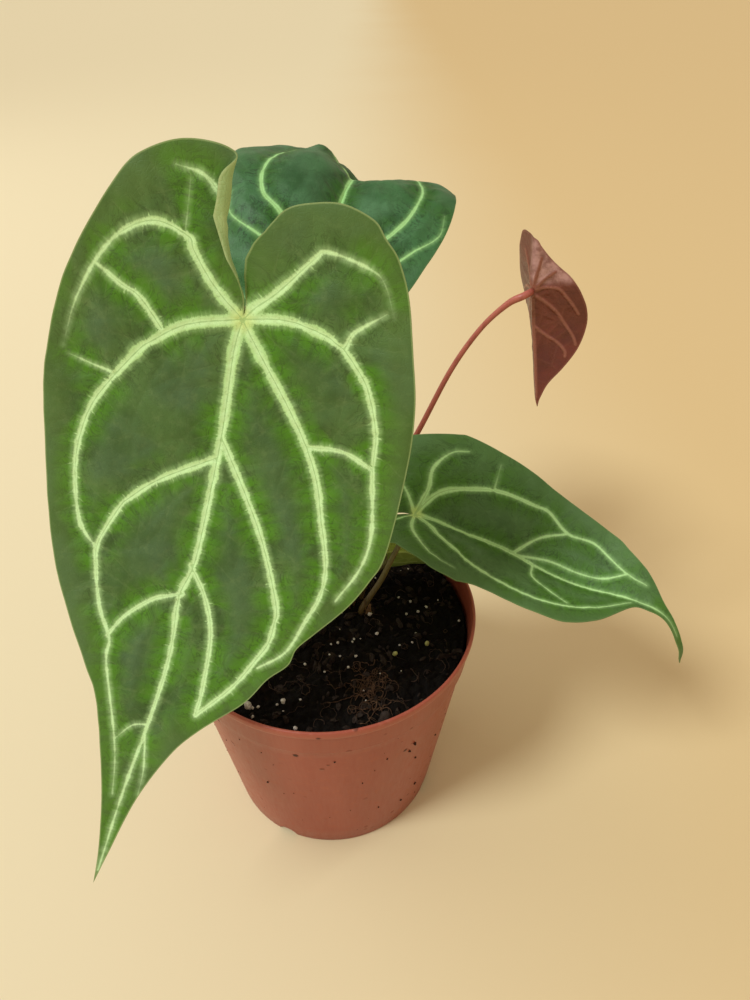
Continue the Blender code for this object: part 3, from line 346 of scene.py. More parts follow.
def smooth_line(points, steps=8):
    """A curve through the points that turns evenly at each one."""
    points = np.asarray(points, float)
    ends = np.vstack([2 * points[0] - points[1], points, 2 * points[-1] - points[-2]])
    out = []
    for k in range(1, len(ends) - 2):
        t = np.linspace(0, 1, steps, endpoint=False)[:, None]
        p0, p1, p2, p3 = ends[k - 1], ends[k], ends[k + 1], ends[k + 2]
        out.append(0.5 * (2 * p1 + (p2 - p0) * t + (2 * p0 - 5 * p1 + 4 * p2 - p3) * t ** 2
                          + (3 * p1 - p0 - 3 * p2 + p3) * t ** 3))
    out.append(ends[-2][None])
    return np.vstack(out)


def run_of(line):
    return np.concatenate([[0], np.cumsum(np.linalg.norm(np.diff(line, axis=0), axis=1))])


def even_line(line, spacing):
    """The same line with points at even distances, both ends kept."""
    run = run_of(line)
    count = max(2, int(round(run[-1] / spacing)) + 1)
    at = np.linspace(0, run[-1], count)
    return np.stack([np.interp(at, run, line[:, k]) for k in range(line.shape[1])], -1)


def mesh_piece(name, points, faces, smooth=True):
    """An object at the origin from points in metres and faces of any size."""
    mesh = bpy.data.meshes.new(name)
    mesh.from_pydata(np.asarray(points).tolist(), [], [tuple(int(k) for k in f) for f in faces])
    mesh.update()
    piece = bpy.data.objects.new(name, mesh)
    bpy.context.scene.collection.objects.link(piece)
    mesh.polygons.foreach_set("use_smooth", [smooth] * len(mesh.polygons))
    return piece


def give(mesh, name, values):
    """A number for every point of the mesh, which its material reads by name."""
    values = np.asarray(values, np.float32)
    kind = "FLOAT" if values.ndim == 1 else "FLOAT_VECTOR"
    layer = mesh.attributes.new(name, kind, "POINT")
    layer.data.foreach_set("value" if values.ndim == 1 else "vector", values.ravel())


def only(piece):
    """Makes the piece the one that is selected and active."""
    bpy.ops.object.select_all(action="DESELECT")
    piece.select_set(True)
    bpy.context.view_layer.objects.active = piece


def stand_for(piece, node=None, materials=()):
    """Moves a finished piece to the pot's place and hands it to the frame."""
    piece.data.transform(Matrix.Translation(AXIS))
    for material in materials:
        piece.data.materials.append(material)
    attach(piece, "root")
    if node:
        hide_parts(node)
    return piece


# ---------------------------------------------------------------- material nodes

class Finish:
    """A material whose nodes are added by short calls."""

    def __init__(self, name, roughness=0.5):
        self.material = bpy.data.materials.new(name)
        self.material.use_nodes = True
        self.tree = self.material.node_tree
        self.shader = self.tree.nodes["Principled BSDF"]
        self.set("Roughness", roughness)

    def set(self, socket, value):
        self.feed(self.shader.inputs[socket], value)

    def feed(self, socket, value):
        if isinstance(value, bpy.types.NodeSocket):
            self.tree.links.new(value, socket)
        elif socket.type == "RGBA":
            socket.default_value = (*value[:3], 1.0)
        else:
            socket.default_value = value

    def node(self, kind, inputs, **settings):
        node = self.tree.nodes.new("ShaderNode" + kind)
        for key, value in settings.items():
            setattr(node, key, value)
        for key, value in inputs.items():
            self.feed(node.inputs[key], value)
        return node

    def math(self, operation, a, b=0.0, c=0.0):
        return self.node("Math", {0: a, 1: b, 2: c}, operation=operation).outputs[0]

    def times(self, a, b):
        return self.math("MULTIPLY", a, b)

    def plus(self, a, b):
        return self.math("ADD", a, b)

    def minus(self, a, b):
        return self.math("SUBTRACT", a, b)

    def shifted(self, vector, shift):
        node = self.node("VectorMath", {0: vector, 1: (shift, shift, 0.0)}, operation="ADD")
        return node.outputs["Vector"]

    def span(self, value, low, high, start=0.0, end=1.0, kind="SMOOTHSTEP"):
        node = self.node("MapRange", {"Value": value, "From Min": low, "From Max": high, "To Min": start,
                                      "To Max": end}, interpolation_type=kind)
        return node.outputs["Result"]

    def mix(self, share, first, second, blend="MIX"):
        node = self.tree.nodes.new("ShaderNodeMix")
        node.data_type = "RGBA"
        node.blend_type = blend
        self.feed(node.inputs["Factor"], share)
        self.feed([s for s in node.inputs if s.name == "A" and s.type == "RGBA"][0], first)
        self.feed([s for s in node.inputs if s.name == "B" and s.type == "RGBA"][0], second)
        return [s for s in node.outputs if s.type == "RGBA"][0]

    def noise(self, scale, vector=None, detail=2.0, roughness=0.5, distortion=0.0, **settings):
        inputs = {"Scale": scale, "Detail": detail, "Roughness": roughness, "Distortion": distortion}
        if vector is not None:
            inputs["Vector"] = vector
        return self.node("TexNoise", inputs, **settings).outputs["Fac"]

    def line_noise(self, along, scale, detail=2.0, roughness=0.5):
        node = self.node("TexNoise", {}, noise_dimensions="1D")
        for key, value in {"W": along, "Scale": scale, "Detail": detail, "Roughness": roughness}.items():
            self.feed(node.inputs[key], value)
        return node.outputs["Fac"]

    def cells(self, scale, vector, feature="DISTANCE_TO_EDGE"):
        node = self.node("TexVoronoi", {"Vector": vector, "Scale": scale}, feature=feature)
        return node.outputs["Distance"]

    def number(self, name):
        return self.node("Attribute", {}, attribute_name=name).outputs["Fac"]

    def vector(self, name):
        return self.node("Attribute", {}, attribute_name=name).outputs["Vector"]

    def place(self):
        """Object coordinates, in metres."""
        return self.node("TexCoord", {}).outputs["Object"]

    def stretched(self, vector, scale):
        return self.node("Mapping", {"Vector": vector, "Scale": scale}).outputs["Vector"]

    def bump(self, height, depth, strength=1.0, under=None):
        inputs = {"Height": height, "Distance": depth, "Strength": strength}
        if under is not None:
            inputs["Normal"] = under
        return self.node("Bump", inputs).outputs["Normal"]


# ---------------------------------------------------------------- leaves

class LeafShape:
    """Carries the flat drawing of a leaf to its place on the plant."""

    def __init__(self, leaf):
        self.leaf = leaf
        self.line = smooth_line(leaf["spine"], 24)
        run = run_of(self.line)
        self.run = run - run[24]
        self.length = self.run[-1]
        along = np.gradient(self.line, self.run, axis=0)
        self.along = along / np.linalg.norm(along, axis=1, keepdims=True)
        face = np.asarray(leaf["face"], float)
        face /= np.linalg.norm(face)
        up = face - (self.along @ face)[:, None] * self.along
        up /= np.linalg.norm(up, axis=1, keepdims=True)
        side = np.cross(self.along, up)
        turn = np.radians(np.interp(self.run, [0, self.length], leaf["twist"]))[:, None]
        self.up = up * np.cos(turn) + side * np.sin(turn)
        self.side = np.cross(self.along, self.up)

    def pick(self, a, values):
        return np.stack([np.interp(a, self.run, values[:, k]) for k in range(3)], -1)

    def rolled(self, a, b):
        """The front leaf's turned-over lobe edge: where a point goes across, and how high it lies."""
        roll = self.leaf.get("roll")
        if not roll:
            return b, np.zeros_like(b)
        line = np.asarray(roll, float)
        edge = np.interp(a, line[:, 0], line[:, 1])
        inside = (a > line[0, 0]) & (a < line[-1, 0]) & (b < edge) & (b > -0.001)
        radius = self.leaf["roll_radius"]
        past = np.where(inside, edge - b, 0.0)
        turn = np.minimum(past / radius, math.radians(150))
        rest = np.maximum(past - radius * math.radians(150), 0)
        moved = edge - radius * np.sin(turn) - rest * math.cos(math.radians(150))
        return np.where(inside, moved, b), radius * (1 - np.cos(turn)) + rest * math.sin(math.radians(150))

    def lapped(self, a, b):
        """The lobe edge that leans across the gap beside the joint, and a little down."""
        lap = self.leaf.get("lap")
        if not lap:
            return b, np.zeros_like(b)
        line = np.asarray(lap, float)
        shift = np.where(b < 0, np.interp(a, line[:, 0], line[:, 1], 0, 0) * np.exp(-(b / 4.0) ** 2), 0)
        return b + shift, -0.3 * shift

    def surface(self, a, b):
        """The middle of the blade, in mm."""
        a, b = np.asarray(a, float), np.asarray(b, float)
        b, lift = self.rolled(a, b)
        b, drop = self.lapped(a, b)
        lift = lift + drop
        before = np.minimum(a - self.run[0], 0)[..., None]
        beyond = np.maximum(a - self.run[-1], 0)[..., None]
        base = self.pick(a, self.line) + before * self.along[0] + beyond * self.along[-1]
        stations = [-0.3 * self.length, 0, 0.5 * self.length, self.length]
        folds = [np.interp(a, stations, values) for values in self.leaf["fold"]]
        curls = [np.interp(a, stations, values) for values in self.leaf["curl"]]
        soft = 1 - np.exp(-(b / CREASE) ** 2)
        fold = np.radians(np.where(b >= 0, folds[0], folds[1])) * soft
        curl = np.where(b >= 0, curls[0], curls[1])
        curl = np.where(np.abs(curl) < 1e-5, 1e-5, curl)
        angle = fold + curl * np.abs(b)
        across = np.sign(b) * (np.sin(angle) - np.sin(fold)) / curl
        rise = (np.cos(fold) - np.cos(angle)) / curl
        height = rise + lift
        sideways, upward = self.pick(a, self.side), self.pick(a, self.up)
        return base + sideways * across[..., None] + upward * height[..., None]

    def normals(self, a, b):
        """The upper side's direction at each point."""
        reach = 0.05
        ahead = self.surface(a + reach, b) - self.surface(a - reach, b)
        aside = self.surface(a, b + reach) - self.surface(a, b - reach)
        normal = np.cross(aside, ahead)
        return normal / np.maximum(np.linalg.norm(normal, axis=1, keepdims=True), 1e-9)


class Spots:
    """Points on a flat blade that keep their distance from each other."""

    def __init__(self):
        self.points = []
        self.cells = {}

    def add(self, x, y, gap):
        """Adds a point, or returns the one that is already nearer than the gap."""
        i, j = int(x // 1.0), int(y // 1.0)
        best, best_gap = None, gap * gap
        for u in (i - 1, i, i + 1):
            for v in (j - 1, j, j + 1):
                for k in self.cells.get((u, v), ()):
                    q = self.points[k]
                    between = (q[0] - x) ** 2 + (q[1] - y) ** 2
                    if between < best_gap:
                        best, best_gap = k, between
        if best is None:
            best = len(self.points)
            self.points.append((x, y))
            self.cells.setdefault((i, j), []).append(best)
        return best


def edge_gap(points, outline):
    """How far each point is inside the outline, below zero outside it."""
    out = np.empty(len(points))
    a, b = outline, np.roll(outline, -1, axis=0)
    run = b - a
    length = np.maximum((run ** 2).sum(1), 1e-9)
    for start in range(0, len(points), 2000):
        p = points[start:start + 2000, None]
        share = np.clip(((p - a) * run).sum(2) / length, 0, 1)
        gap = np.linalg.norm(p - (a + share[..., None] * run), axis=2).min(1)
        crosses = (a[:, 1] > p[..., 1]) != (b[:, 1] > p[..., 1])
        rise = np.where(np.abs(run[:, 1]) < 1e-12, 1e-12, run[:, 1])
        where = a[:, 0] + (p[..., 1] - a[:, 1]) / rise * run[:, 0]
        inside = (crosses & (p[..., 0] < where)).sum(1) % 2 == 1
        out[start:start + 2000] = np.where(inside, gap, -gap)
    return out


def thin_veins(leaf, mains, outline):
    """Thin side veins: each leaves a main vein at a slant and ends at the next one or near the edge."""
    draw = random.Random(leaf["seed"])
    tree = KDTree(sum(len(line) for line, _ in mains))
    owner = []
    for which, (line, _) in enumerate(mains):
        for p in line:
            tree.insert((p[0], p[1], 0), len(owner))
            owner.append(which)
    tree.balance()
    found = []
    for which, (line, half) in enumerate(mains):
        run = run_of(line)
        at, hand = draw.uniform(1.5, 4.5), 1
        while at < run[-1] - 1.5:
            k = int(np.searchsorted(run, at))
            ahead = line[min(k + 2, len(line) - 1)] - line[max(k - 2, 0)]
            heading = math.atan2(ahead[1], ahead[0]) + hand * math.radians(draw.uniform(54, 78))
            bend = -hand * math.radians(draw.uniform(0.2, 1.9))
            p = line[min(k, len(line) - 1)].copy()
            path = [p.copy()]
            for _ in range(int(draw.choice((9, 16, 26, 60)))):
                heading += bend + math.radians(draw.gauss(0, 3.2))
                p = p + np.array([math.cos(heading), math.sin(heading)])
                _, near, gap = tree.find((p[0], p[1], 0))
                if edge_gap(p[None], outline)[0] < 1.6:
                    break
                path.append(p.copy())
                if len(path) > 4 and owner[near] != which and gap < 0.6:
                    break
            if len(path) > 3:
                found.append((smooth_line(np.array(path), 4), half[min(k, len(half) - 1)]))
            hand = -hand
            at += draw.uniform(2.2, 6.0)
    return found


def nearest(lines, flat, payloads):
    """Gap to the nearest line, and the payload numbers at that place."""
    samples = np.vstack(lines)
    tree = KDTree(len(samples))
    for k, p in enumerate(samples):
        tree.insert((p[0], p[1], 0), k)
    tree.balance()
    values = [np.concatenate(load) for load in payloads]
    gaps, at = np.empty(len(flat)), np.empty(len(flat), int)
    for k, p in enumerate(flat):
        _, at[k], gaps[k] = tree.find((p[0], p[1], 0))
    return gaps, [load[at] for load in values]


def flat_blade(leaf):
    """The flat drawing as a fine mesh with an edge along each vein.

    Gives its points, its triangles, its outline and the lines of its main veins.
    """
    step = leaf["step"]
    plus = even_line(smooth_line(leaf["plus"], 8), step)
    minus = even_line(smooth_line(leaf["minus"], 8), step)
    outline = np.vstack([plus, minus[-2:0:-1]])
    spots = Spots()
    rim = []
    for p in outline:
        k = spots.add(p[0], p[1], 0.12)
        if k not in rim[-1:]:
            rim.append(k)
    if rim[0] == rim[-1]:
        rim.pop()
    edges = list(zip(rim, rim[1:] + rim[:1]))
    mains = []
    for line, start, end in leaf["veins"]:
        centre = even_line(smooth_line(line, 8), step)
        ids = [spots.add(p[0], p[1], 0.32) for p in centre]
        edges += [(i, j) for i, j in zip(ids, ids[1:]) if i != j]
        fine = even_line(smooth_line(line, 8), 0.25)
        share = np.linspace(0, 1, len(fine))
        mains.append((fine, 0.5 * (start + (end - start) * share ** 0.8)))
    rows = []
    for line, start, end in leaf["veins"]:
        centre = even_line(smooth_line(line, 8), step)
        ahead = np.gradient(centre, axis=0)
        ahead /= np.linalg.norm(ahead, axis=1, keepdims=True)
        aside = np.stack([-ahead[:, 1], ahead[:, 0]], -1)
        for reach in (0.3, 0.75, 1.3, 1.9):
            rows += [centre + aside * reach, centre - aside * reach]
    rows = np.vstack(rows)
    rows = rows[edge_gap(rows, outline) > 0.4]
    for x, y in rows:
        spots.add(float(x), float(y), 0.38)
    lows, highs = outline.min(0), outline.max(0)
    high = step * 0.866
    grid = []
    for row in range(int((highs[1] - lows[1]) / high) + 1):
        xs = np.arange(lows[0] + 0.5 * step * (row % 2), highs[0], step)
        grid.append(np.stack([xs, np.full(len(xs), lows[1] + row * high)], -1))
    grid = np.vstack(grid)
    grid = grid[edge_gap(grid, outline) > 0.55 * step]
    for x, y in grid:
        spots.add(float(x), float(y), 0.62 * step)
    result = delaunay_2d_cdt([Vector(p) for p in spots.points], edges, [rim], 1, 1e-5)
    flat = np.array([tuple(v) for v in result[0]])
    faces = np.array([tuple(f) for f in result[2] if len(f) == 3])
    return flat, faces, outline, mains


def border(faces):
    """The edges that only one triangle has, turned as that triangle turns them."""
    pairs = np.concatenate([faces[:, [0, 1]], faces[:, [1, 2]], faces[:, [2, 0]]])
    seen = set(map(tuple, pairs.tolist()))
    return [(i, j) for i, j in seen if (j, i) not in seen]


def waves(flat, scale, seed):
    """Soft random numbers of -1 to 1 over the flat drawing."""
    return np.array([noise.noise((x * scale, y * scale, seed)) for x, y in flat])


def make_blade(leaf, materials):
    """A blade with its veins sunk above and raised below, and its skin quilted between them."""
    shape = LeafShape(leaf)
    flat, faces, outline, mains = flat_blade(leaf)
    a, b = flat[:, 0], flat[:, 1]
    runs = [run_of(line) + 300.0 * k for k, (line, _) in enumerate(mains)]
    core, (half, run) = nearest([line for line, _ in mains], flat, ([h for _, h in mains], runs))
    twigs = thin_veins(leaf, mains, outline)
    twig_runs = [run_of(line) for line, _ in twigs]
    twig_power = [np.full(len(line), min(1.0, power / 1.6)) for line, power in twigs]
    twig, (twig_run, twig_share) = nearest([line for line, _ in twigs], flat, (twig_runs, twig_power))
    edge = np.maximum(edge_gap(flat, outline), 0)
    beyond = np.maximum(core - half, 0)
    calm = np.clip(edge / 6, 0, 1)
    quilt = leaf["quilt"] * (1 - np.exp(-(beyond / 7.0) ** 2)) * (0.55 + 0.45 * calm)
    quilt += 0.22 * (1 - np.exp(-(twig / 1.8) ** 2)) * calm
    quilt += leaf["pucker"] * waves(flat, 0.16, leaf["seed"]) * np.clip(beyond / 4, 0, 1)
    for at, side, reach, height in leaf.get("dents", []):
        quilt += height * np.exp(-((a - at) ** 2 + (b - side) ** 2) / reach ** 2)
    fold = np.sin(run / 1.35 + 1.5 * waves(flat, 0.3, leaf["seed"] + 3))
    quilt += 0.35 * leaf["pucker"] * fold * np.exp(-((beyond - 2.2) / 2.4) ** 2) * calm
    deep = GROOVE * np.exp(-(core / 0.34) ** 2) * np.clip(half / 1.3, 0.25, 1)
    deep += 0.10 * np.exp(-(twig / 0.4) ** 2) * twig_share
    width = 0.62 * half + 0.35
    rib = RIB * width * np.sqrt(np.clip(1 - (core / width) ** 2, 0, 1))
    rib = np.maximum(rib, 0.22 * twig_share * np.exp(-(twig / 0.45) ** 2))
    middle, normal = shape.surface(a, b), shape.normals(a, b)
    thin = BLADE * (0.55 + 0.45 * np.clip(edge / 1.0, 0, 1))
    top = middle + normal * (quilt + thin / 2 - deep)[:, None]
    below = middle + normal * (quilt - thin / 2 - rib)[:, None]
    one, two, three = faces[len(faces) // 2]
    turned = np.cross(middle[two] - middle[one], middle[three] - middle[one]) @ normal[one]
    if turned < 0:
        faces = faces[:, ::-1]
    count = len(flat)
    rims = []
    for i, j in border(faces):
        rims += [(j, i, i + count), (j, i + count, j + count)]
    every = np.vstack([faces, faces[:, ::-1] + count, np.array(rims)])
    piece = mesh_piece(leaf["name"] + "_leaf", np.vstack([top, below]) * MM, every)
    mesh = piece.data
    slots = np.zeros(len(every), np.int32)
    slots[len(faces):2 * len(faces)] = 1
    mesh.polygons.foreach_set("material_index", slots)
    twice = {"core": core, "half": half, "run": run, "twig": twig, "twig_run": twig_run, "edge": edge}
    for name, values in twice.items():
        give(mesh, name, np.concatenate([values, values]))
    drawing = np.stack([a, b, np.zeros(count)], -1)
    give(mesh, "drawing", np.vstack([drawing, drawing]))
    only(piece)
    bpy.ops.object.shade_smooth_by_angle(angle=math.radians(50))
    node = leaf["name"] + "_blade"
    return stand_for(piece, node, materials)


def vein_band(finish, jag):
    """1 on the pale band of a vein, torn and feathered at its edge, and the distance past that edge."""
    core, half, run = finish.number("core"), finish.number("half"), finish.number("run")
    drawing = finish.vector("drawing")
    swell = finish.times(finish.minus(finish.line_noise(run, 0.16, 2.0), 0.5), 1.6)
    teeth = finish.times(finish.minus(finish.line_noise(run, 1.1, 3.0, 0.75), 0.5), 0.9)
    grain = finish.times(finish.minus(finish.noise(1.7, drawing, 4.0, 0.7), 0.5), 0.8)
    wide = finish.span(half, 0.2, 1.5, 0.3 * jag, jag, "LINEAR")
    ragged = finish.times(finish.plus(finish.plus(swell, teeth), grain), wide)
    past = finish.minus(finish.minus(core, half), ragged)
    strong = finish.span(half, 0.12, 0.5, 0.35, 1.0)
    band = finish.times(finish.span(past, -0.55, 0.38, 1.0, 0.0), strong)
    streaks = finish.span(finish.line_noise(run, 0.55, 2.0, 0.6), 0.3, 0.7, 0.55, 1.0)
    fringe = finish.times(finish.times(finish.span(past, -0.2, 1.7, 0.40, 0.0), streaks), strong)
    twig, twig_run = finish.number("twig"), finish.number("twig_run")
    reach = finish.span(twig_run, 0.8, 3.4, 0.42 * jag, 0.0, "LINEAR")
    branch = finish.span(finish.minus(twig, reach), -0.2, 0.2, 0.9, 0.0)
    branch = finish.times(branch, finish.span(twig_run, 1.2, 3.4, 1.0, 0.0))
    band = finish.math("MAXIMUM", band, finish.times(branch, finish.span(half, 0.5, 1.1)))
    return finish.math("MAXIMUM", band, fringe), past


def upper_finish(name, look):
    """The upper side: velvet tissue with grey patches of its own tone and painted sheen, pale torn vein
    bands, vivid patches beside them, painted shadow in the creases, and a thin light edge that is partly
    painted highlight.
    """
    finish = Finish(name, 0.5)
    core, half, run = finish.number("core"), finish.number("half"), finish.number("run")
    edge, twig, twig_run = finish.number("edge"), finish.number("twig"), finish.number("twig_run")
    drawing = finish.vector("drawing")
    band, past = vein_band(finish, look["jag"])
    broad = finish.noise(0.045, drawing, 3.0, 0.55)
    fine = finish.noise(0.33, drawing, 4.0, 0.6)
    tissue = finish.mix(finish.span(broad, 0.36, 0.62), look["velvet"], look["deep"])
    # Grey-green patches between the veins: partly the velvet's own grey tone, partly painted sheen.
    grey_and_sheen = finish.span(finish.noise(0.035, finish.shifted(drawing, 40.0), 2.0), 0.42, 0.62)
    tissue = finish.mix(finish.times(grey_and_sheen, finish.span(past, 2.0, 7.0, 0.0, 0.8)), tissue, look["grey_and_sheen"])
    tissue = finish.mix(finish.span(fine, 0.45, 0.8, 0.0, 0.3), tissue, look["pale"])
    combed = finish.line_noise(run, 0.22, 3.0, 0.6)
    fade = finish.span(past, 0.5, 11.0, 1.0, 0.0)
    tissue = finish.mix(finish.times(finish.span(combed, 0.52, 0.8, 0.0, 0.35), fade), tissue, look["pale"])
    tissue = finish.mix(finish.times(finish.span(combed, 0.5, 0.25, 0.0, 0.5), fade), tissue, look["deep"])
    patch = finish.noise(0.05, drawing, 2.0, 0.5, 0.4)
    near = finish.times(finish.span(past, 0.3, look["splash"], 0.95, 0.0), finish.span(patch, 0.41, 0.53))
    near = finish.times(near, finish.span(combed, 0.34, 0.56, 0.45, 1.0))
    tissue = finish.mix(near, tissue, look["vivid"])
    # Painted shadow: thin dark lines along the folds of the puckered skin, strongest near the veins.
    folds = finish.noise(0.16, finish.shifted(drawing, 9.0), 3.0, 0.6, 1.4)
    crease_shadow = finish.span(finish.math("ABSOLUTE", finish.minus(folds, 0.5)), 0.0, 0.035, 1.0, 0.0)
    crease_shadow = finish.times(crease_shadow, finish.span(past, 0.2, 8.0, look["crease_shadow"], 0.25 * look["crease_shadow"]))
    tissue = finish.mix(crease_shadow, tissue, look["shadow_tint"])
    tissue = finish.mix(finish.span(edge, 4.0, 11.0, look["rim_tint"], 0.0), tissue, look["margin"])
    line = finish.span(twig_run, 3.0, 26.0, 0.42, 0.10)
    line = finish.times(finish.span(twig, 0.05, 0.42, 1.0, 0.0), line)
    tissue = finish.mix(finish.times(line, look["net"]), tissue, look["pale"])
    vein = finish.mix(finish.span(core, 0.2, 1.7), look["vein"], look["vein_side"])
    reach = finish.node("VectorMath", {0: drawing}, operation="LENGTH").outputs["Value"]
    vein = finish.mix(finish.span(reach, 1.0, 5.0, 0.65, 0.0), vein, look["knot"])
    torn = finish.noise(1.1, drawing, 3.0, 0.7)
    vein = finish.mix(finish.span(torn, 0.52, 0.75, 0.0, 0.35), vein, tissue)
    broad_only = finish.span(half, 0.55, 1.2, 0.0, look["line"])
    centre = finish.times(finish.span(core, 0.10, 0.30, 1.0, 0.0), broad_only)
    vein = finish.mix(centre, vein, look["groove"])
    colour = finish.mix(band, tissue, vein)
    # A thin light line along the blade's edge: partly the margin's own pale rim, partly painted highlight.
    colour = finish.mix(finish.span(edge, 0.15, 0.5, look["edge_line_and_highlight"], 0.0), colour, look["edge"])
    finish.set("Base Color", colour)
    rough = finish.plus(finish.times(fine, 0.22), look["rough"])
    finish.set("Roughness", finish.plus(rough, finish.times(band, 0.08)))
    finish.set("Sheen Weight", look["sheen"])
    finish.set("Sheen Roughness", 0.45)
    finish.set("Sheen Tint", (*look["sheen_tint"], 1.0))
    finish.set("Specular IOR Level", look["gloss"])
    net = finish.span(finish.cells(0.62, drawing), 0.0, 0.12)
    skin = finish.bump(finish.noise(3.2, drawing, 3.0, 0.65), 0.00012, 0.5)
    finish.set("Normal", finish.bump(net, 0.00008, 0.35, skin))
    return finish.material


def under_finish(name, look):
    """The underside: paler, duller, with light ribs, a faint net, and a painted pinkish highlight on one
    lobe of the young blade.
    """
    finish = Finish(name, 0.55)
    core, half = finish.number("core"), finish.number("half")
    edge, twig = finish.number("edge"), finish.number("twig")
    drawing = finish.vector("drawing")
    broad = finish.noise(0.06, drawing, 3.0, 0.6)
    fine = finish.noise(0.5, drawing, 4.0, 0.6)
    tissue = finish.mix(finish.span(broad, 0.38, 0.62), look["back"], look["back_deep"])
    tissue = finish.mix(finish.span(fine, 0.4, 0.8, 0.0, 0.4), tissue, look["back_deep"])
    tissue = finish.mix(finish.span(twig, 0.1, 0.6, look["net_back"], 0.0), tissue, look["rib"])
    # Painted highlight: a pinkish sheen on the lobe behind the joint, used on the young blade.
    parts = finish.node("SeparateXYZ", {"Vector": drawing})
    behind, aside = finish.span(parts.outputs["X"], -1.0, -5.0), finish.span(parts.outputs["Y"], -3.0, 1.0)
    lobe = finish.times(behind, aside)
    shine = finish.span(finish.noise(0.22, drawing, 3.0, 0.6), 0.35, 0.6, 0.35, 1.0)
    tissue = finish.mix(finish.times(finish.times(lobe, shine), look["pink_highlight"]), tissue, (0.60, 0.34, 0.33))
    width = finish.plus(finish.times(half, 0.62), 0.35)
    ribbed = finish.span(finish.minus(core, width), -0.3, 0.35, 1.0, 0.0)
    colour = finish.mix(ribbed, tissue, look["rib"])
    colour = finish.mix(finish.span(edge, 0.2, 0.8, 0.5, 0.0), colour, look["rib"])
    finish.set("Base Color", colour)
    finish.set("Roughness", finish.plus(finish.times(fine, 0.2), look["back_rough"]))
    finish.set("Specular IOR Level", look["gloss"])
    net = finish.span(finish.cells(0.62, drawing), 0.0, 0.15)
    skin = finish.bump(finish.noise(2.4, drawing, 3.0, 0.6), 0.00012, 0.5)
    finish.set("Normal", finish.bump(net, 0.0001, 0.4, skin))
    return finish.material


def leaf_looks(settings):
    """The finishes of the five blades: shared green ones, and the young bronze one."""
    vein, velvet, vivid = tuple(settings.vein), tuple(settings.velvet), tuple(settings.vivid)
    margin, under, bronze = tuple(settings.margin), tuple(settings.underside), tuple(settings.bronze)
    front = {
        "velvet": velvet, "deep": (0.044, 0.108, 0.018), "grey_and_sheen": (0.074, 0.150, 0.060),
        "pale": (0.175, 0.270, 0.095), "shadow_tint": (0.026, 0.058, 0.008), "vivid": vivid, "margin": margin,
        "vein": vein, "vein_side": (0.50, 0.82, 0.34), "knot": (0.62, 0.76, 0.22),
        "groove": (0.28, 0.50, 0.17), "edge": (0.38, 0.50, 0.20), "edge_line_and_highlight": 0.5, "rim_tint": 0.35,
        "jag": 1.0, "splash": 9.0, "net": 0.5, "line": 0.6, "rough": 0.42,
        "sheen": 0.12, "sheen_tint": (0.75, 0.95, 0.6), "gloss": 0.35,
        "crease_shadow": 0.55, "back": under, "back_deep": (0.36, 0.55, 0.23), "rib": (0.60, 0.78, 0.42),
        "back_rough": 0.45, "net_back": 0.4, "pink_highlight": 0.0,
    }
    back = dict(front, velvet=(0.050, 0.170, 0.058), deep=(0.028, 0.105, 0.034), grey_and_sheen=(0.078, 0.21, 0.095),
                pale=(0.11, 0.26, 0.12), shadow_tint=(0.010, 0.034, 0.010), vivid=(0.030, 0.13, 0.012),
                margin=(0.052, 0.165, 0.050), vein=(0.40, 0.76, 0.30), vein_side=(0.24, 0.54, 0.18),
                rough=0.42, gloss=0.3, rim_tint=0.3, edge=(0.12, 0.24, 0.08), edge_line_and_highlight=0.4, sheen=0.04,
                jag=0.6, crease_shadow=0.8)
    right = dict(back, velvet=(0.080, 0.185, 0.048), deep=(0.056, 0.138, 0.032), grey_and_sheen=(0.096, 0.205, 0.072),
                 pale=(0.13, 0.26, 0.090), shadow_tint=(0.016, 0.044, 0.008), vivid=(0.055, 0.17, 0.010),
                 margin=(0.078, 0.175, 0.040), vein=(0.48, 0.80, 0.34), vein_side=(0.28, 0.56, 0.18),
                 edge=(0.16, 0.26, 0.09), rough=0.42, jag=0.7, crease_shadow=0.6)
    young = dict(front, velvet=(0.13, 0.034, 0.020), deep=(0.085, 0.020, 0.012), grey_and_sheen=(0.20, 0.075, 0.055),
                 pale=(0.30, 0.13, 0.10), shadow_tint=(0.05, 0.012, 0.008), vivid=(0.16, 0.036, 0.018),
                 margin=(0.14, 0.036, 0.022), vein=(0.36, 0.15, 0.11), vein_side=(0.26, 0.09, 0.06),
                 knot=(0.42, 0.15, 0.10), groove=(0.14, 0.034, 0.022), edge=(0.14, 0.045, 0.03), jag=0.3,
                 sheen=0.1, rough=0.30, crease_shadow=0.2, back=bronze, back_deep=(0.105, 0.017, 0.009),
                 pink_highlight=0.85, rib=(0.26, 0.085, 0.055), back_rough=0.26, gloss=0.6, net_back=0.12)
    low = dict(right, back=(0.36, 0.52, 0.10), back_deep=(0.28, 0.42, 0.08), rib=(0.46, 0.62, 0.18))
    return {"front": front, "right": right, "back": back, "new": young, "low": low}


# ---------------------------------------------------------------- stalks

def stalk_finish(name, low, high, base, top, spots):
    """A waxy stalk whose colour changes from its base to its top, with small pale flecks."""
    finish = Finish(name, 0.42)
    place = finish.place()
    height = finish.node("SeparateXYZ", {"Vector": place}).outputs["Z"]
    share = finish.span(height, low * MM, high * MM, 0.0, 1.0, "LINEAR")
    mottle = finish.noise(420.0, finish.stretched(place, (1.0, 1.0, 0.25)), 3.0, 0.6)
    colour = finish.mix(share, base, top)
    colour = finish.mix(finish.span(mottle, 0.45, 0.75, 0.0, 0.45), colour, spots)
    finish.set("Base Color", colour)
    finish.set("Roughness", finish.plus(finish.times(mottle, 0.2), 0.32))
    finish.set("Normal", finish.bump(mottle, 0.0001, 0.4))
    return finish.material


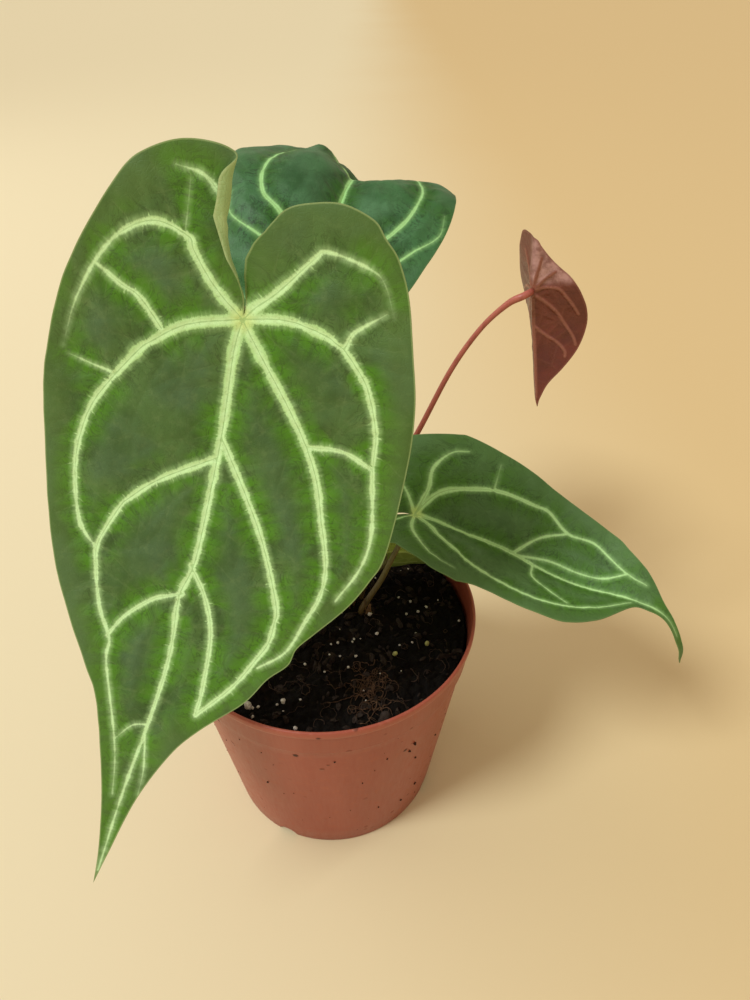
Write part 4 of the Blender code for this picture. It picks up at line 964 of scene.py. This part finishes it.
def make_stalk(leaf, material):
    """A round stalk with a swollen foot and a swollen joint under its blade, from a bevelled curve."""
    name = leaf["name"]
    way, radii = STALKS[name]
    shape = LeafShape(leaf)
    joint, up = shape.surface(0.0, 0.0), shape.pick(0.0, shape.up)
    end = joint - up * (BLADE / 2 + RIB)
    line = smooth_line([*way, tuple(end - up * 4.5), tuple(end)], 12)
    line = even_line(line, 1.6)
    share = np.linspace(0, 1, len(line))
    radius = np.interp(share, [0, 0.3, 0.85, 1], radii)
    length = run_of(line)[-1]
    from_top = (1 - share) * length
    radius *= 1 + 0.16 * np.exp(-((from_top - 7.0) / 4.5) ** 2)
    bpy.ops.object.select_all(action="DESELECT")
    bpy.ops.curve.primitive_bezier_curve_add(radius=MM, location=(0, 0, 0))
    piece = bpy.context.object
    piece.name = piece.data.name = name + "_stem"
    curve = piece.data
    curve.splines.clear()
    spline = curve.splines.new("POLY")
    spline.points.add(len(line) - 1)
    for point, place, thick in zip(spline.points, line, radius):
        point.co = (*(place * MM), 1.0)
        point.radius = thick
    curve.dimensions = "3D"
    curve.twist_mode = "MINIMUM"
    curve.bevel_depth = MM
    curve.bevel_resolution = 5
    curve.use_fill_caps = True
    bpy.ops.object.convert(target="MESH")
    piece = bpy.context.object
    bpy.ops.object.shade_smooth()
    bpy.ops.object.mode_set(mode="EDIT")
    bpy.ops.mesh.select_all(action="SELECT")
    bpy.ops.mesh.remove_doubles(threshold=1e-6)
    bpy.ops.mesh.normals_make_consistent(inside=False)
    bpy.ops.object.mode_set(mode="OBJECT")
    node = name + "_stalk"
    return stand_for(piece, node, [material])


# ---------------------------------------------------------------- pot, soil and crown

def turned_piece(name, profile, steps):
    """A profile of (radius, height) in metres, extruded point by point in edit mode and spun round Z."""
    bpy.ops.object.select_all(action="DESELECT")
    bpy.ops.mesh.primitive_plane_add(size=MM, location=(0, 0, 0))
    piece = bpy.context.object
    piece.name = piece.data.name = name
    bpy.ops.object.mode_set(mode="EDIT")
    bpy.ops.mesh.select_all(action="SELECT")
    bpy.ops.mesh.merge(type="CENTER")
    bpy.ops.transform.translate(value=(profile[0][0], 0, profile[0][1]))
    for (r0, z0), (r1, z1) in zip(profile, profile[1:]):
        bpy.ops.mesh.extrude_region_move(TRANSFORM_OT_translate={"value": (r1 - r0, 0, z1 - z0)})
    bpy.ops.mesh.select_all(action="SELECT")
    bpy.ops.mesh.spin(steps=steps, angle=2 * math.pi, center=(0, 0, 0), axis=(0, 0, 1))
    bpy.ops.mesh.select_all(action="SELECT")
    bpy.ops.mesh.remove_doubles(threshold=2e-5)
    bpy.ops.mesh.normals_make_consistent(inside=False)
    bpy.ops.object.mode_set(mode="OBJECT")
    return piece


def cut_away(piece, cutter):
    """Takes the cutter's shape out of the piece and removes the cutter."""
    only(piece)
    modifier = piece.modifiers.new("cut", "BOOLEAN")
    modifier.operation = "DIFFERENCE"
    modifier.solver = "EXACT"
    modifier.object = cutter
    bpy.ops.object.modifier_apply(modifier="cut")
    bpy.data.objects.remove(cutter, do_unlink=True)


def cone_radius(settings, height):
    """The pot's outer radius below the collar, in mm, at a height in mm."""
    base = settings.base_radius / MM
    upper = settings.rim_radius / MM - LIP_REACH - COLLAR_STEP
    return base + (upper - base) * height / (settings.height / MM - COLLAR)


def pot_profile(settings):
    """The pot's section as (radius, height) in metres.

    It runs from the foot's inner edge up the outside, over the lip, down the inside and along the
    floor to the axis, and back under it.
    """
    rim, top = settings.rim_radius / MM, settings.height / MM
    base, wall = settings.base_radius / MM, settings.wall / MM
    collar = top - COLLAR
    step = cone_radius(settings, collar)
    floor_edge = cone_radius(settings, FLOOR_TOP) - wall
    points = [(FOOT_INNER, 0.35), (FOOT_INNER + 0.3, 0), (base - 0.9, 0), (base - 0.25, 0.25),
              (cone_radius(settings, 0.9), 0.9)]
    points += [(cone_radius(settings, height), height) for height in (12, 24, 36, 48, 60, 72, 80)]
    points += [(step - 0.02, collar - 0.5), (step + 0.15, collar - 0.2),
               (step + COLLAR_STEP - 0.15, collar + 0.25), (step + COLLAR_STEP, collar + 0.7),
               (rim - 1.25, top - 5.0), (rim - 1.0, top - 4.2), (rim - 0.3, top - 3.4),
               (rim - 0.05, top - 2.6), (rim, top - 1.6)]
    for k in range(9):
        over, along = LIP_BEAD * math.sin(math.pi * k / 8), LIP_BEAD * math.cos(math.pi * k / 8)
        points.append((rim - LIP_BEAD + along, top - LIP_BEAD + over))
    points += [(rim - 1.45, top - 2.2), (step + COLLAR_STEP - wall, collar + 1.4),
               (step - wall, collar - 0.4)]
    points += [(cone_radius(settings, height) - wall, height) for height in (72, 60, 48, 36, 24, 12)]
    points += [(floor_edge, 5.0), (floor_edge - 1.0, FLOOR_TOP), (0, FLOOR_TOP), (0, FLOOR_LOW),
               (FOOT_INNER - 0.8, FLOOR_LOW), (FOOT_INNER, 1.8), (FOOT_INNER, 0.35)]
    return [(radius * MM, height * MM) for radius, height in points]


def plastic_finish(settings):
    """Thin moulded plastic: faint flow marks, a lighter lip, scuffs, dried soil splashes, and painted shade
    on the inner wall.
    """
    finish = Finish("pot plastic", 0.45)
    place = finish.place()
    parts = finish.node("SeparateXYZ", {"Vector": place})
    height = parts.outputs["Z"]
    body, worn = tuple(settings.colour), tuple(settings.worn)
    flow = finish.noise(60.0, finish.stretched(place, (1.0, 1.0, 0.22)), 4.0, 0.6)
    broad = finish.noise(26.0, place, 3.0, 0.55)
    colour = finish.mix(finish.span(flow, 0.4, 0.7, 0.0, 0.30), body, worn)
    colour = finish.mix(finish.span(broad, 0.45, 0.7, 0.0, 0.25), colour, (0.24, 0.060, 0.033))
    top = settings.height
    colour = finish.mix(finish.span(height, top - 4.6 * MM, top - 3.2 * MM, 0.0, 0.7), colour, worn)
    dust = finish.times(finish.span(finish.noise(300.0, place, 5.0, 0.7), 0.50, 0.72), 0.35)
    colour = finish.mix(dust, colour, (0.48, 0.18, 0.12))
    speck = finish.cells(150.0, place, "F1")
    many = finish.span(finish.noise(38.0, place, 2.0), 0.46, 0.62)
    soil = finish.times(finish.span(speck, 0.10, 0.20, 1.0, 0.0), many)
    soil = finish.times(soil, finish.span(height, 0.030, 0.085, 0.35, 1.0))
    colour = finish.mix(finish.times(soil, 0.9), colour, (0.035, 0.018, 0.011))
    # Painted shade: the inner wall turns near black from the lip down.
    uneven = finish.plus(height, finish.times(flow, 0.012))
    inner_shade = finish.span(uneven, top + 5 * MM, top - 4 * MM, 0.25, 0.92)
    colour = finish.mix(finish.times(finish.number("inner"), inner_shade), colour, (0.030, 0.013, 0.008))
    finish.set("Base Color", colour)
    scratch = finish.noise(900.0, finish.stretched(place, (1.0, 1.0, 0.06)), 3.0, 0.6)
    rough = finish.plus(finish.times(scratch, 0.18), finish.times(dust, 0.5))
    finish.set("Roughness", finish.plus(finish.plus(rough, finish.times(soil, 0.4)), 0.30))
    finish.set("Specular IOR Level", 0.45)
    grain = finish.bump(finish.noise(1500.0, place, 3.0, 0.6), 0.00005, 0.35)
    waves_down = finish.noise(34.0, finish.stretched(place, (1.0, 1.0, 0.3)), 2.0)
    ripple = finish.bump(waves_down, 0.0007, 0.35, grain)
    finish.set("Normal", finish.bump(soil, 0.00035, 0.8, ripple))
    return finish.material


def soil_top(x, y, settings, draw):
    """Height of the soil's surface at a place in metres."""
    u, v = x / MM, y / MM
    height = settings.level / MM - 1.5 * (math.hypot(u, v) / 57) ** 4
    clod = settings.clod_height / MM
    height += clod * 1.2 * noise.noise((u * 0.075, v * 0.075, draw))
    height += clod * 1.1 * abs(noise.noise((u * 0.21, v * 0.21, draw + 5)))
    height += clod * 0.55 * noise.noise((u * 0.55, v * 0.55, draw + 9))
    height += clod * 0.28 * noise.noise((u * 1.3, v * 1.3, draw + 13))
    return height * MM


def soil_finish(settings):
    """Wet peat: almost black, with browner crumbs and a weak damp shine in places."""
    finish = Finish("wet peat", 0.85)
    place = finish.place()
    crumbs = finish.noise(700.0, place, 6.0, 0.75)
    clods = finish.noise(120.0, place, 4.0, 0.6)
    crumbly = finish.span(crumbs, 0.45, 0.72, 0.0, 0.8)
    colour = finish.mix(crumbly, tuple(settings.peat), (0.009, 0.0055, 0.0035))
    colour = finish.mix(finish.span(clods, 0.55, 0.72, 0.0, 0.5), colour, tuple(settings.bark))
    finish.set("Base Color", colour)
    finish.set("Roughness", finish.span(clods, 0.35, 0.65, 0.70, 0.98, "LINEAR"))
    finish.set("Specular IOR Level", 0.12)
    finish.set("Normal", finish.bump(crumbs, 0.0006, 1.0))
    return finish.material


def grain_finish(name, first, second, rough, scale):
    """A crumbly finish of two colours."""
    finish = Finish(name, rough)
    place = finish.place()
    mottle = finish.noise(scale, place, 4.0, 0.65)
    finish.set("Base Color", finish.mix(finish.span(mottle, 0.35, 0.68), first, second))
    finish.set("Roughness", finish.span(mottle, 0.3, 0.7, rough - 0.12, rough + 0.1, "LINEAR"))
    finish.set("Specular IOR Level", 0.3)
    finish.set("Normal", finish.bump(mottle, 0.0002, 0.7))
    return finish.material


class Heap:
    """Gathers many small shapes into one mesh."""

    def __init__(self):
        self.points, self.faces = [], []

    def add(self, points, faces):
        start = len(self.points)
        self.points += [tuple(p) for p in points]
        self.faces += [tuple(k + start for k in f) for f in faces]

    def piece(self, name, smooth=True):
        return mesh_piece(name, self.points, self.faces, smooth)


def pebble_form():
    """A small ball with 42 points: points and faces."""
    bm = bmesh.new()
    bmesh.ops.create_icosphere(bm, subdivisions=2, radius=1.0)
    points = [v.co.copy() for v in bm.verts]
    faces = [tuple(v.index for v in f.verts) for f in bm.faces]
    bm.free()
    return points, faces


def add_crumb(heap, form, centre, size, draw, rough=0.35):
    """One irregular crumb, turned at random, from the ball form."""
    points, faces = form
    turn = Vector((draw.gauss(0, 1), draw.gauss(0, 1), draw.gauss(0, 1))).normalized()
    angle = draw.uniform(0, math.pi)
    seed = draw.uniform(0, 900)
    spin = Vector((0, 0, 1)).rotation_difference(turn)
    about = Matrix.Rotation(angle, 3, "Z")
    out = []
    for p in points:
        q = p * (1 + rough * noise.noise(p * 1.7 + Vector((seed, 0, 0))))
        q = Vector((q.x * size[0], q.y * size[1], q.z * size[2]))
        q.rotate(spin)
        out.append(about @ q + Vector(centre))
    heap.add(out, faces)


def add_strand(heap, path, radius, sides=5, flat=1.0):
    """A thin tapering thread along a path in metres, or a papery strip where flat is small."""
    path = np.asarray(path)
    ahead = np.gradient(path, axis=0)
    ahead /= np.maximum(np.linalg.norm(ahead, axis=1, keepdims=True), 1e-9)
    across = np.cross(ahead[0], [0.3, 0.2, 1.0])
    points, faces = [], []
    last = len(path) - 1
    for k, (p, d) in enumerate(zip(path, ahead)):
        across = across - (across @ d) * d
        across /= np.linalg.norm(across)
        third = np.cross(d, across)
        thick = radius * (1 - 0.75 * (k / last) ** 2)
        for s in range(sides):
            angle = 2 * math.pi * s / sides
            points.append(p + thick * (math.cos(angle) * across + flat * math.sin(angle) * third))
    for k in range(last):
        for s in range(sides):
            nxt = (s + 1) % sides
            faces.append((k * sides + s, k * sides + nxt, (k + 1) * sides + nxt, (k + 1) * sides + s))
    faces.append(tuple(reversed(range(sides))))
    faces.append(tuple(range(last * sides, (last + 1) * sides)))
    heap.add(points, faces)


# ---------------------------------------------------------------- operators

SOIL_SEED = 4.0

# Grains that lie in plain view: place from the pot's axis and half size, in mm
PALE_GRAINS = [(-26.7, -43.0, 1.7), (-14.1, -40.9, 1.1), (-8.8, -51.4, 0.9), (17.4, 0.4, 1.0),
               (14.1, 4.9, 0.8), (20.3, -8.7, 0.8), (37.3, 3.2, 0.7), (53.9, -1.2, 0.6),
               (12.1, -20.9, 0.6), (4.8, -12.9, 0.6), (2.1, -13.4, 0.5), (11.2, -11.9, 0.5),
               (-7.4, -23.8, 0.6), (5.9, -19.4, 0.5)]
SLOW_FEED = [(27.3, -19.4, 1.1), (40.1, -13.4, 1.1)]
TANGLE = (17.6, -36.0, 12.0)  # middle and reach of the brown root tangle
RIM_CLOD = (22.8, -51.6, 98.2)

# Dried soil splashed on the pot: azimuth in degrees, height and half size in mm
SPLASHES = [(-51, 69, 0.9), (-53, 65, 0.7), (-48, 54, 0.6), (-34, 55, 0.6), (-64, 69, 0.5), (-85, 77, 0.5),
            (-116, 49, 0.6), (-42, 24, 0.8), (-74, 55, 0.4), (-51, 19, 0.6), (-65, 26, 0.5)]

# Loose specks: how many, between which azimuths, least and greatest half size in mm
SPECKLES = [(34, -150, -20, 0.15, 0.35), (20, -20, 210, 0.2, 0.6)]


def cut_round(piece, radius, depth, place, turn=(0, 0, 0)):
    """Cut a round hole, sizes in mm, with an upright axis unless it is turned."""
    bpy.ops.mesh.primitive_cylinder_add(vertices=32, radius=radius * MM, depth=depth * MM,
                                        location=Vector(place) * MM, rotation=turn)
    cutter = bpy.context.object
    bpy.ops.object.transform_apply(location=True, rotation=True, scale=True)
    cut_away(piece, cutter)


class ANTHURIUM_OT_pot(Operator):
    """Turn the nursery pot, cut its drain holes and splash it with soil"""
    bl_idname = "anthurium.pot"
    bl_label = "Pot"

    def execute(self, context):
        settings = context.scene.anthurium_pot
        pot = turned_piece("nursery_pot", pot_profile(settings), 144)
        foot = settings.base_radius / MM
        cut_round(pot, DRAIN_RADIUS, 8, (0, 0, 3))
        for k in range(4):
            turn = math.radians(NOTCH_AZIMUTH + 45 + 90 * k)
            cut_round(pot, DRAIN_RADIUS, 8, (DRAIN_RING * math.cos(turn), DRAIN_RING * math.sin(turn), 3))
        for k in range(4):
            turn = math.radians(NOTCH_AZIMUTH + 90 * k)
            place = (foot * math.cos(turn), foot * math.sin(turn), 0)
            cut_round(pot, NOTCH_RADIUS, 10, place, (0, math.pi / 2, turn))
        only(pot)
        bpy.ops.object.shade_smooth_by_angle(angle=math.radians(38))
        self.mark_inside(pot, settings)
        stand_for(pot, "pot", [plastic_finish(settings)])
        self.splash(settings)
        return {"FINISHED"}

    def mark_inside(self, pot, settings):
        """Mark the points of the inner wall, which gets painted shade that deepens below the lip."""
        collar = settings.height / MM - COLLAR
        inner = []
        for v in pot.data.vertices:
            height = v.co.z / MM
            outer = cone_radius(settings, min(height, collar))
            outer += COLLAR_STEP if height > collar else 0
            within = math.hypot(v.co.x, v.co.y) < outer * MM - 0.5 * settings.wall
            inner.append(float(within and height > 3))
        give(pot.data, "inner", inner)

    def splash(self, settings):
        """Put specks of dried soil on the outer wall."""
        draw, form, specks = random.Random(5), pebble_form(), Heap()
        extra = []
        for count, first, last, small, large in SPECKLES:
            for _ in range(count):
                azimuth, height = draw.uniform(first, last), draw.uniform(8, 82)
                extra.append((azimuth, height, draw.uniform(small, large)))
        for azimuth, height, size in SPLASHES + extra:
            turn = math.radians(azimuth)
            radius = cone_radius(settings, height)
            centre = Vector((radius * math.cos(turn), radius * math.sin(turn), height)) * MM
            add_crumb(specks, form, centre, (size * MM, size * 0.7 * MM, size * 0.6 * MM), draw, 0.7)
        dried = grain_finish("dried soil", (0.050, 0.022, 0.012), (0.020, 0.010, 0.007), 0.85, 900.0)
        stand_for(specks.piece("soil_splashes", False), None, [dried])


class ANTHURIUM_OT_soil(Operator):
    """Fill the pot with crumbly soil"""
    bl_idname = "anthurium.soil"
    bl_label = "Soil"

    def execute(self, context):
        settings = context.scene.anthurium_soil
        low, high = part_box("soil")
        reach = (high.x - low.x) / 2
        bpy.ops.object.select_all(action="DESELECT")
        bpy.ops.mesh.primitive_grid_add(x_subdivisions=190, y_subdivisions=190, size=2, location=(0, 0, 0))
        bed = context.object
        bed.name = bed.data.name = "soil_bed"
        for v in bed.data.vertices:
            x, y = v.co.x, v.co.y
            u, w = x * math.sqrt(1 - y * y / 2), y * math.sqrt(1 - x * x / 2)
            far = min(1.0, math.hypot(u, w))
            v.co.x, v.co.y = u * reach, w * reach
            height = soil_top(v.co.x, v.co.y, settings, SOIL_SEED)
            v.co.z = height if far < 0.9999 else settings.level - 2.3 * MM
        bpy.ops.object.mode_set(mode="EDIT")
        bpy.ops.mesh.select_all(action="SELECT")
        bpy.ops.mesh.region_to_loop()
        bpy.ops.mesh.extrude_region_move(TRANSFORM_OT_translate={"value": (0, 0, -5 * MM)})
        bpy.ops.transform.resize(value=(0.988, 0.988, 1), center_override=(0, 0, 0.085))
        drop = low.z - settings.level + 7.3 * MM
        bpy.ops.mesh.extrude_region_move(TRANSFORM_OT_translate={"value": (0, 0, drop)})
        bpy.ops.transform.resize(value=(0.805, 0.805, 1), center_override=(0, 0, low.z))
        bpy.ops.mesh.edge_face_add()
        bpy.ops.mesh.select_all(action="SELECT")
        bpy.ops.mesh.normals_make_consistent(inside=False)
        bpy.ops.object.mode_set(mode="OBJECT")
        bpy.ops.object.shade_smooth_by_angle(angle=math.radians(60))
        stand_for(bed, "soil", [soil_finish(settings)])
        return {"FINISHED"}


class ANTHURIUM_OT_grains(Operator):
    """Scatter bark crumbs, perlite grains and coir fibres on the soil"""
    bl_idname = "anthurium.grains"
    bl_label = "Bark, perlite and fibres"

    def execute(self, context):
        settings = context.scene.anthurium_soil
        draw = random.Random(77)
        form = pebble_form()

        def on_soil(radius, angle, lift):
            x, y = radius * math.cos(angle) * MM, radius * math.sin(angle) * MM
            return x, y, soil_top(x, y, settings, SOIL_SEED) + lift * MM

        def scattered(reach, least, most):
            radius = reach * math.sqrt(draw.random())
            angle = draw.uniform(0, 2 * math.pi)
            return on_soil(radius, angle, draw.uniform(least, most))

        chips, white, fibres = Heap(), Heap(), Heap()
        for _ in range(settings.chips):
            centre = scattered(55, -0.4, 0.5)
            long = draw.uniform(0.6, 2.6) * MM
            size = (long, long * draw.uniform(0.3, 0.8), long * draw.uniform(0.2, 0.6))
            add_crumb(chips, form, centre, size, draw, 0.7)
        for _ in range(settings.grains):
            centre = scattered(54, 0.1, 0.5)
            size = draw.uniform(0.25, 0.75) * MM
            add_crumb(white, form, centre, (size, size * draw.uniform(0.7, 1.0), size * 0.8), draw)
        for x, y, size in PALE_GRAINS:
            centre = on_soil(math.hypot(x, y), math.atan2(y, x), 0.4 + 0.3 * size)
            add_crumb(white, form, centre, (size * MM, size * 0.85 * MM, size * 0.8 * MM), draw)
        feed, roots = Heap(), Heap()
        for x, y, size in SLOW_FEED:
            centre = on_soil(math.hypot(x, y), math.atan2(y, x), 0.5 + 0.3 * size)
            add_crumb(feed, form, centre, (size * 1.2 * MM, size * 0.8 * MM, size * 0.75 * MM), draw, 0.12)
        for lift, wide in ((0.0, 2.2), (-2.4, 2.9), (-4.8, 3.4)):
            centre = (RIM_CLOD[0] * MM, RIM_CLOD[1] * MM, (RIM_CLOD[2] + lift) * MM)
            add_crumb(chips, form, centre, (wide * MM, 2.0 * MM, 1.6 * MM), draw, 0.5)
        for k in range(settings.fibres + 70):
            angle = draw.uniform(0, 2 * math.pi)
            tangled = k >= settings.fibres
            if tangled:
                reach = TANGLE[2] * draw.random()
                x = (TANGLE[0] + 0.8 * reach * math.cos(angle)) * MM
                y = (TANGLE[1] + reach * math.sin(angle)) * MM
            else:
                x, y, _ = on_soil(50 * math.sqrt(draw.random()), angle, 0)
            heading, bend = draw.uniform(0, 2 * math.pi), draw.gauss(0, 0.35)
            path = []
            for _ in range(draw.randint(8, 20)):
                height = soil_top(x, y, settings, SOIL_SEED) + draw.uniform(0.1, 0.9) * MM
                path.append((x, y, height))
                heading += bend + draw.gauss(0, 0.22)
                x += 0.8 * MM * math.cos(heading)
                y += 0.8 * MM * math.sin(heading)
                if math.hypot(x, y) > 55 * MM:
                    break
            if len(path) > 4:
                add_strand(roots if tangled else fibres, smooth_line(path, 2), draw.uniform(0.08, 0.2) * MM)
        bark = grain_finish("rotted bark", tuple(settings.bark), (0.012, 0.007, 0.004), 0.8, 900.0)
        pale = grain_finish("perlite", tuple(settings.perlite), (0.42, 0.38, 0.33), 0.85, 1600.0)
        coir = grain_finish("coir fibre", (0.055, 0.030, 0.016), (0.02, 0.011, 0.007), 0.7, 800.0)
        tan = grain_finish("dry roots", (0.115, 0.060, 0.030), (0.045, 0.024, 0.013), 0.8, 800.0)
        olive = grain_finish("slow feed", (0.40, 0.42, 0.14), (0.28, 0.27, 0.10), 0.5, 900.0)
        stand_for(roots.piece("root_tangle"), None, [tan])
        stand_for(feed.piece("slow_feed"), None, [olive])
        stand_for(chips.piece("bark_crumbs", False), None, [bark])
        stand_for(white.piece("perlite_grains"), None, [pale])
        stand_for(fibres.piece("coir_fibres"), None, [coir])
        return {"FINISHED"}


# The crown's section with the scars of old stalks: radius and height in mm
CROWN_RINGS = [(0, 84), (2.7, 84), (3.2, 88), (3.0, 90), (3.15, 91.5), (2.85, 92.6), (3.1, 93.4),
               (2.7, 94.8), (2.95, 95.6), (2.4, 97.2), (2.3, 98.5), (1.7, 100.4), (1.0, 102),
               (0.4, 103), (0, 103)]


class ANTHURIUM_OT_crown(Operator):
    """Build the short stem between the stalks"""
    bl_idname = "anthurium.crown"
    bl_label = "Crown"

    def execute(self, context):
        low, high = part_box("crown")
        x, y = (low.x + high.x) / 2 - AXIS.x, (low.y + high.y) / 2 - AXIS.y
        section = [(radius * MM, height * MM) for radius, height in CROWN_RINGS]
        stem = turned_piece("crown_stem", section, 28)
        for v in stem.data.vertices:
            sway = 0.18 * MM * noise.noise(v.co * 700)
            v.co.x += x + sway
            v.co.y += y - sway
        only(stem)
        bpy.ops.object.shade_smooth()
        bark = grain_finish("crown bark", (0.10, 0.062, 0.028), (0.035, 0.02, 0.011), 0.75, 700.0)
        stand_for(stem, "crown", [bark])
        draw, sheaths = random.Random(31), Heap()
        places = [(x / MM + 3.1 * math.cos(t), y / MM + 3.1 * math.sin(t), t) for t in np.arange(9) * 0.7]
        places += [(16.4, 2.2, -1.2), (15.8, 3.6, 2.6)]
        for px, py, turn in places:
            tall = draw.uniform(7, 15)
            lean = draw.uniform(0.05, 0.28)
            outward = Vector((lean * math.cos(turn), lean * math.sin(turn), 1))
            path = [(Vector((px, py, 90)) + outward * h) * MM for h in np.linspace(0, tall, 6)]
            add_strand(sheaths, smooth_line(path, 3), draw.uniform(0.8, 1.5) * MM, 8, 0.16)
        papery = grain_finish("papery sheath", (0.20, 0.115, 0.050), (0.085, 0.045, 0.020), 0.7, 500.0)
        stand_for(sheaths.piece("papery_sheaths"), None, [papery])
        return {"FINISHED"}


class ANTHURIUM_OT_leaves(Operator):
    """Lay out the five blades with their veins"""
    bl_idname = "anthurium.leaves"
    bl_label = "Leaf blades"

    def execute(self, context):
        looks = leaf_looks(context.scene.anthurium_leaf)
        for leaf in LEAVES:
            look = looks[leaf["name"]]
            upper = upper_finish(leaf["name"] + " leaf above", look)
            under = under_finish(leaf["name"] + " leaf below", look)
            make_blade(leaf, [upper, under])
        return {"FINISHED"}


class ANTHURIUM_OT_stalks(Operator):
    """Draw the five stalks from the soil to their blades"""
    bl_idname = "anthurium.stalks"
    bl_label = "Stalks"

    def execute(self, context):
        tones = {
            "front": ((0.13, 0.10, 0.03), (0.22, 0.26, 0.08), (0.10, 0.12, 0.04)),
            "right": ((0.11, 0.075, 0.025), (0.17, 0.17, 0.045), (0.08, 0.05, 0.02)),
            "back": ((0.12, 0.09, 0.03), (0.16, 0.22, 0.07), (0.09, 0.10, 0.03)),
            "new": ((0.24, 0.030, 0.012), (0.46, 0.13, 0.10), (0.20, 0.035, 0.02)),
            "low": ((0.12, 0.08, 0.03), (0.14, 0.13, 0.05), (0.09, 0.06, 0.02)),
        }
        for leaf in LEAVES:
            name = leaf["name"]
            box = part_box(name + "_stalk")
            base, top, flecks = tones[name]
            finish = stalk_finish(name + " stalk", 95, box[1].z / MM, base, top, flecks)
            make_stalk(leaf, finish)
        return {"FINISHED"}


class ANTHURIUM_OT_stage(Operator):
    """Set the pale floor, the soft lights and the camera"""
    bl_idname = "anthurium.stage"
    bl_label = "Stage"

    def execute(self, context):
        settings = context.scene.anthurium_stage
        scene = context.scene
        bpy.ops.object.select_all(action="DESELECT")
        bpy.ops.mesh.primitive_plane_add(size=24, location=(0, 0, 0))
        floor = context.object
        floor.name = floor.data.name = "pale_floor"
        finish = Finish("pale floor", 0.8)
        place = finish.place()
        across = finish.node("SeparateXYZ", {"Vector": place}).outputs["X"]
        # Painted shade: the floor turns darker and warmer from left to right, as if the light fell off.
        shade = finish.plus(across, finish.times(finish.noise(2.2, place, 2.0, 0.5), 0.08))
        colour = finish.mix(finish.span(shade, -0.14, 0.32), tuple(settings.floor), tuple(settings.shaded_floor))
        finish.set("Base Color", colour)
        finish.set("Specular IOR Level", 0.1)
        floor.data.materials.append(finish.material)
        world = bpy.data.worlds.new("soft room")
        world.use_nodes = True
        back = world.node_tree.nodes["Background"]
        back.inputs["Color"].default_value = (1.0, 0.80, 0.62, 1)
        back.inputs["Strength"].default_value = 0.55
        scene.world = world
        aim = Vector((0.0, 0.0, 0.12))
        place = Vector((-1.5, -0.9, 2.3))
        bpy.ops.object.light_add(type="SUN", location=AXIS + place)
        sun = context.object
        sun.name = sun.data.name = "key_light"
        sun.data.angle = math.radians(16)
        sun.data.energy = settings.key_power
        sun.data.color = (0.93, 0.96, 0.95)
        sun.rotation_euler = (aim - place).to_track_quat("-Z", "Y").to_euler()
        place = Vector((-1.3, 0.5, 0.9))
        bpy.ops.object.light_add(type="AREA", location=AXIS + place)
        fill = context.object
        fill.name = fill.data.name = "fill_light"
        fill.data.size = 1.2
        fill.data.energy = settings.fill_power
        fill.rotation_euler = (aim - place).to_track_quat("-Z", "Y").to_euler()
        tilt = (math.radians(CAMERA_TILT), 0, 0)
        bpy.ops.object.camera_add(location=AXIS + Vector(CAMERA_PLACE), rotation=tilt)
        camera = context.object
        camera.name = camera.data.name = "photo_camera"
        camera.data.lens = settings.lens
        camera.data.sensor_width = 36
        camera.data.clip_start = 0.01
        scene.camera = camera
        scene.view_settings.view_transform = "Standard"
        return {"FINISHED"}


class ANTHURIUM_PT_panel(Panel):
    """Lists the steps of the potted anthurium"""
    bl_label = "Potted Anthurium"
    bl_idname = "ANTHURIUM_PT_panel"
    bl_space_type = "VIEW_3D"
    bl_region_type = "UI"
    bl_category = "Anthurium"

    def draw(self, context):
        column = self.layout.column()
        for operator in OPERATORS:
            column.operator(operator.bl_idname)


OPERATORS = (ANTHURIUM_OT_stage, ANTHURIUM_OT_pot, ANTHURIUM_OT_soil, ANTHURIUM_OT_grains,
             ANTHURIUM_OT_crown, ANTHURIUM_OT_stalks, ANTHURIUM_OT_leaves)
GROUPS = {"anthurium_pot": PotSettings, "anthurium_soil": SoilSettings, "anthurium_leaf": LeafSettings,
          "anthurium_stage": StageSettings}


def register():
    for group in GROUPS.values():
        bpy.utils.register_class(group)
    for name, group in GROUPS.items():
        setattr(bpy.types.Scene, name, PointerProperty(type=group))
    for operator in OPERATORS:
        bpy.utils.register_class(operator)
    bpy.utils.register_class(ANTHURIUM_PT_panel)


def unregister():
    bpy.utils.unregister_class(ANTHURIUM_PT_panel)
    for operator in reversed(OPERATORS):
        bpy.utils.unregister_class(operator)
    for name, group in GROUPS.items():
        delattr(bpy.types.Scene, name)
        bpy.utils.unregister_class(group)


def main():
    register()
    bpy.ops.anthurium.stage()
    bpy.ops.anthurium.pot()
    bpy.ops.anthurium.soil()
    bpy.ops.anthurium.grains()
    bpy.ops.anthurium.crown()
    bpy.ops.anthurium.stalks()
    bpy.ops.anthurium.leaves()


if __name__ == "__main__":
    main()
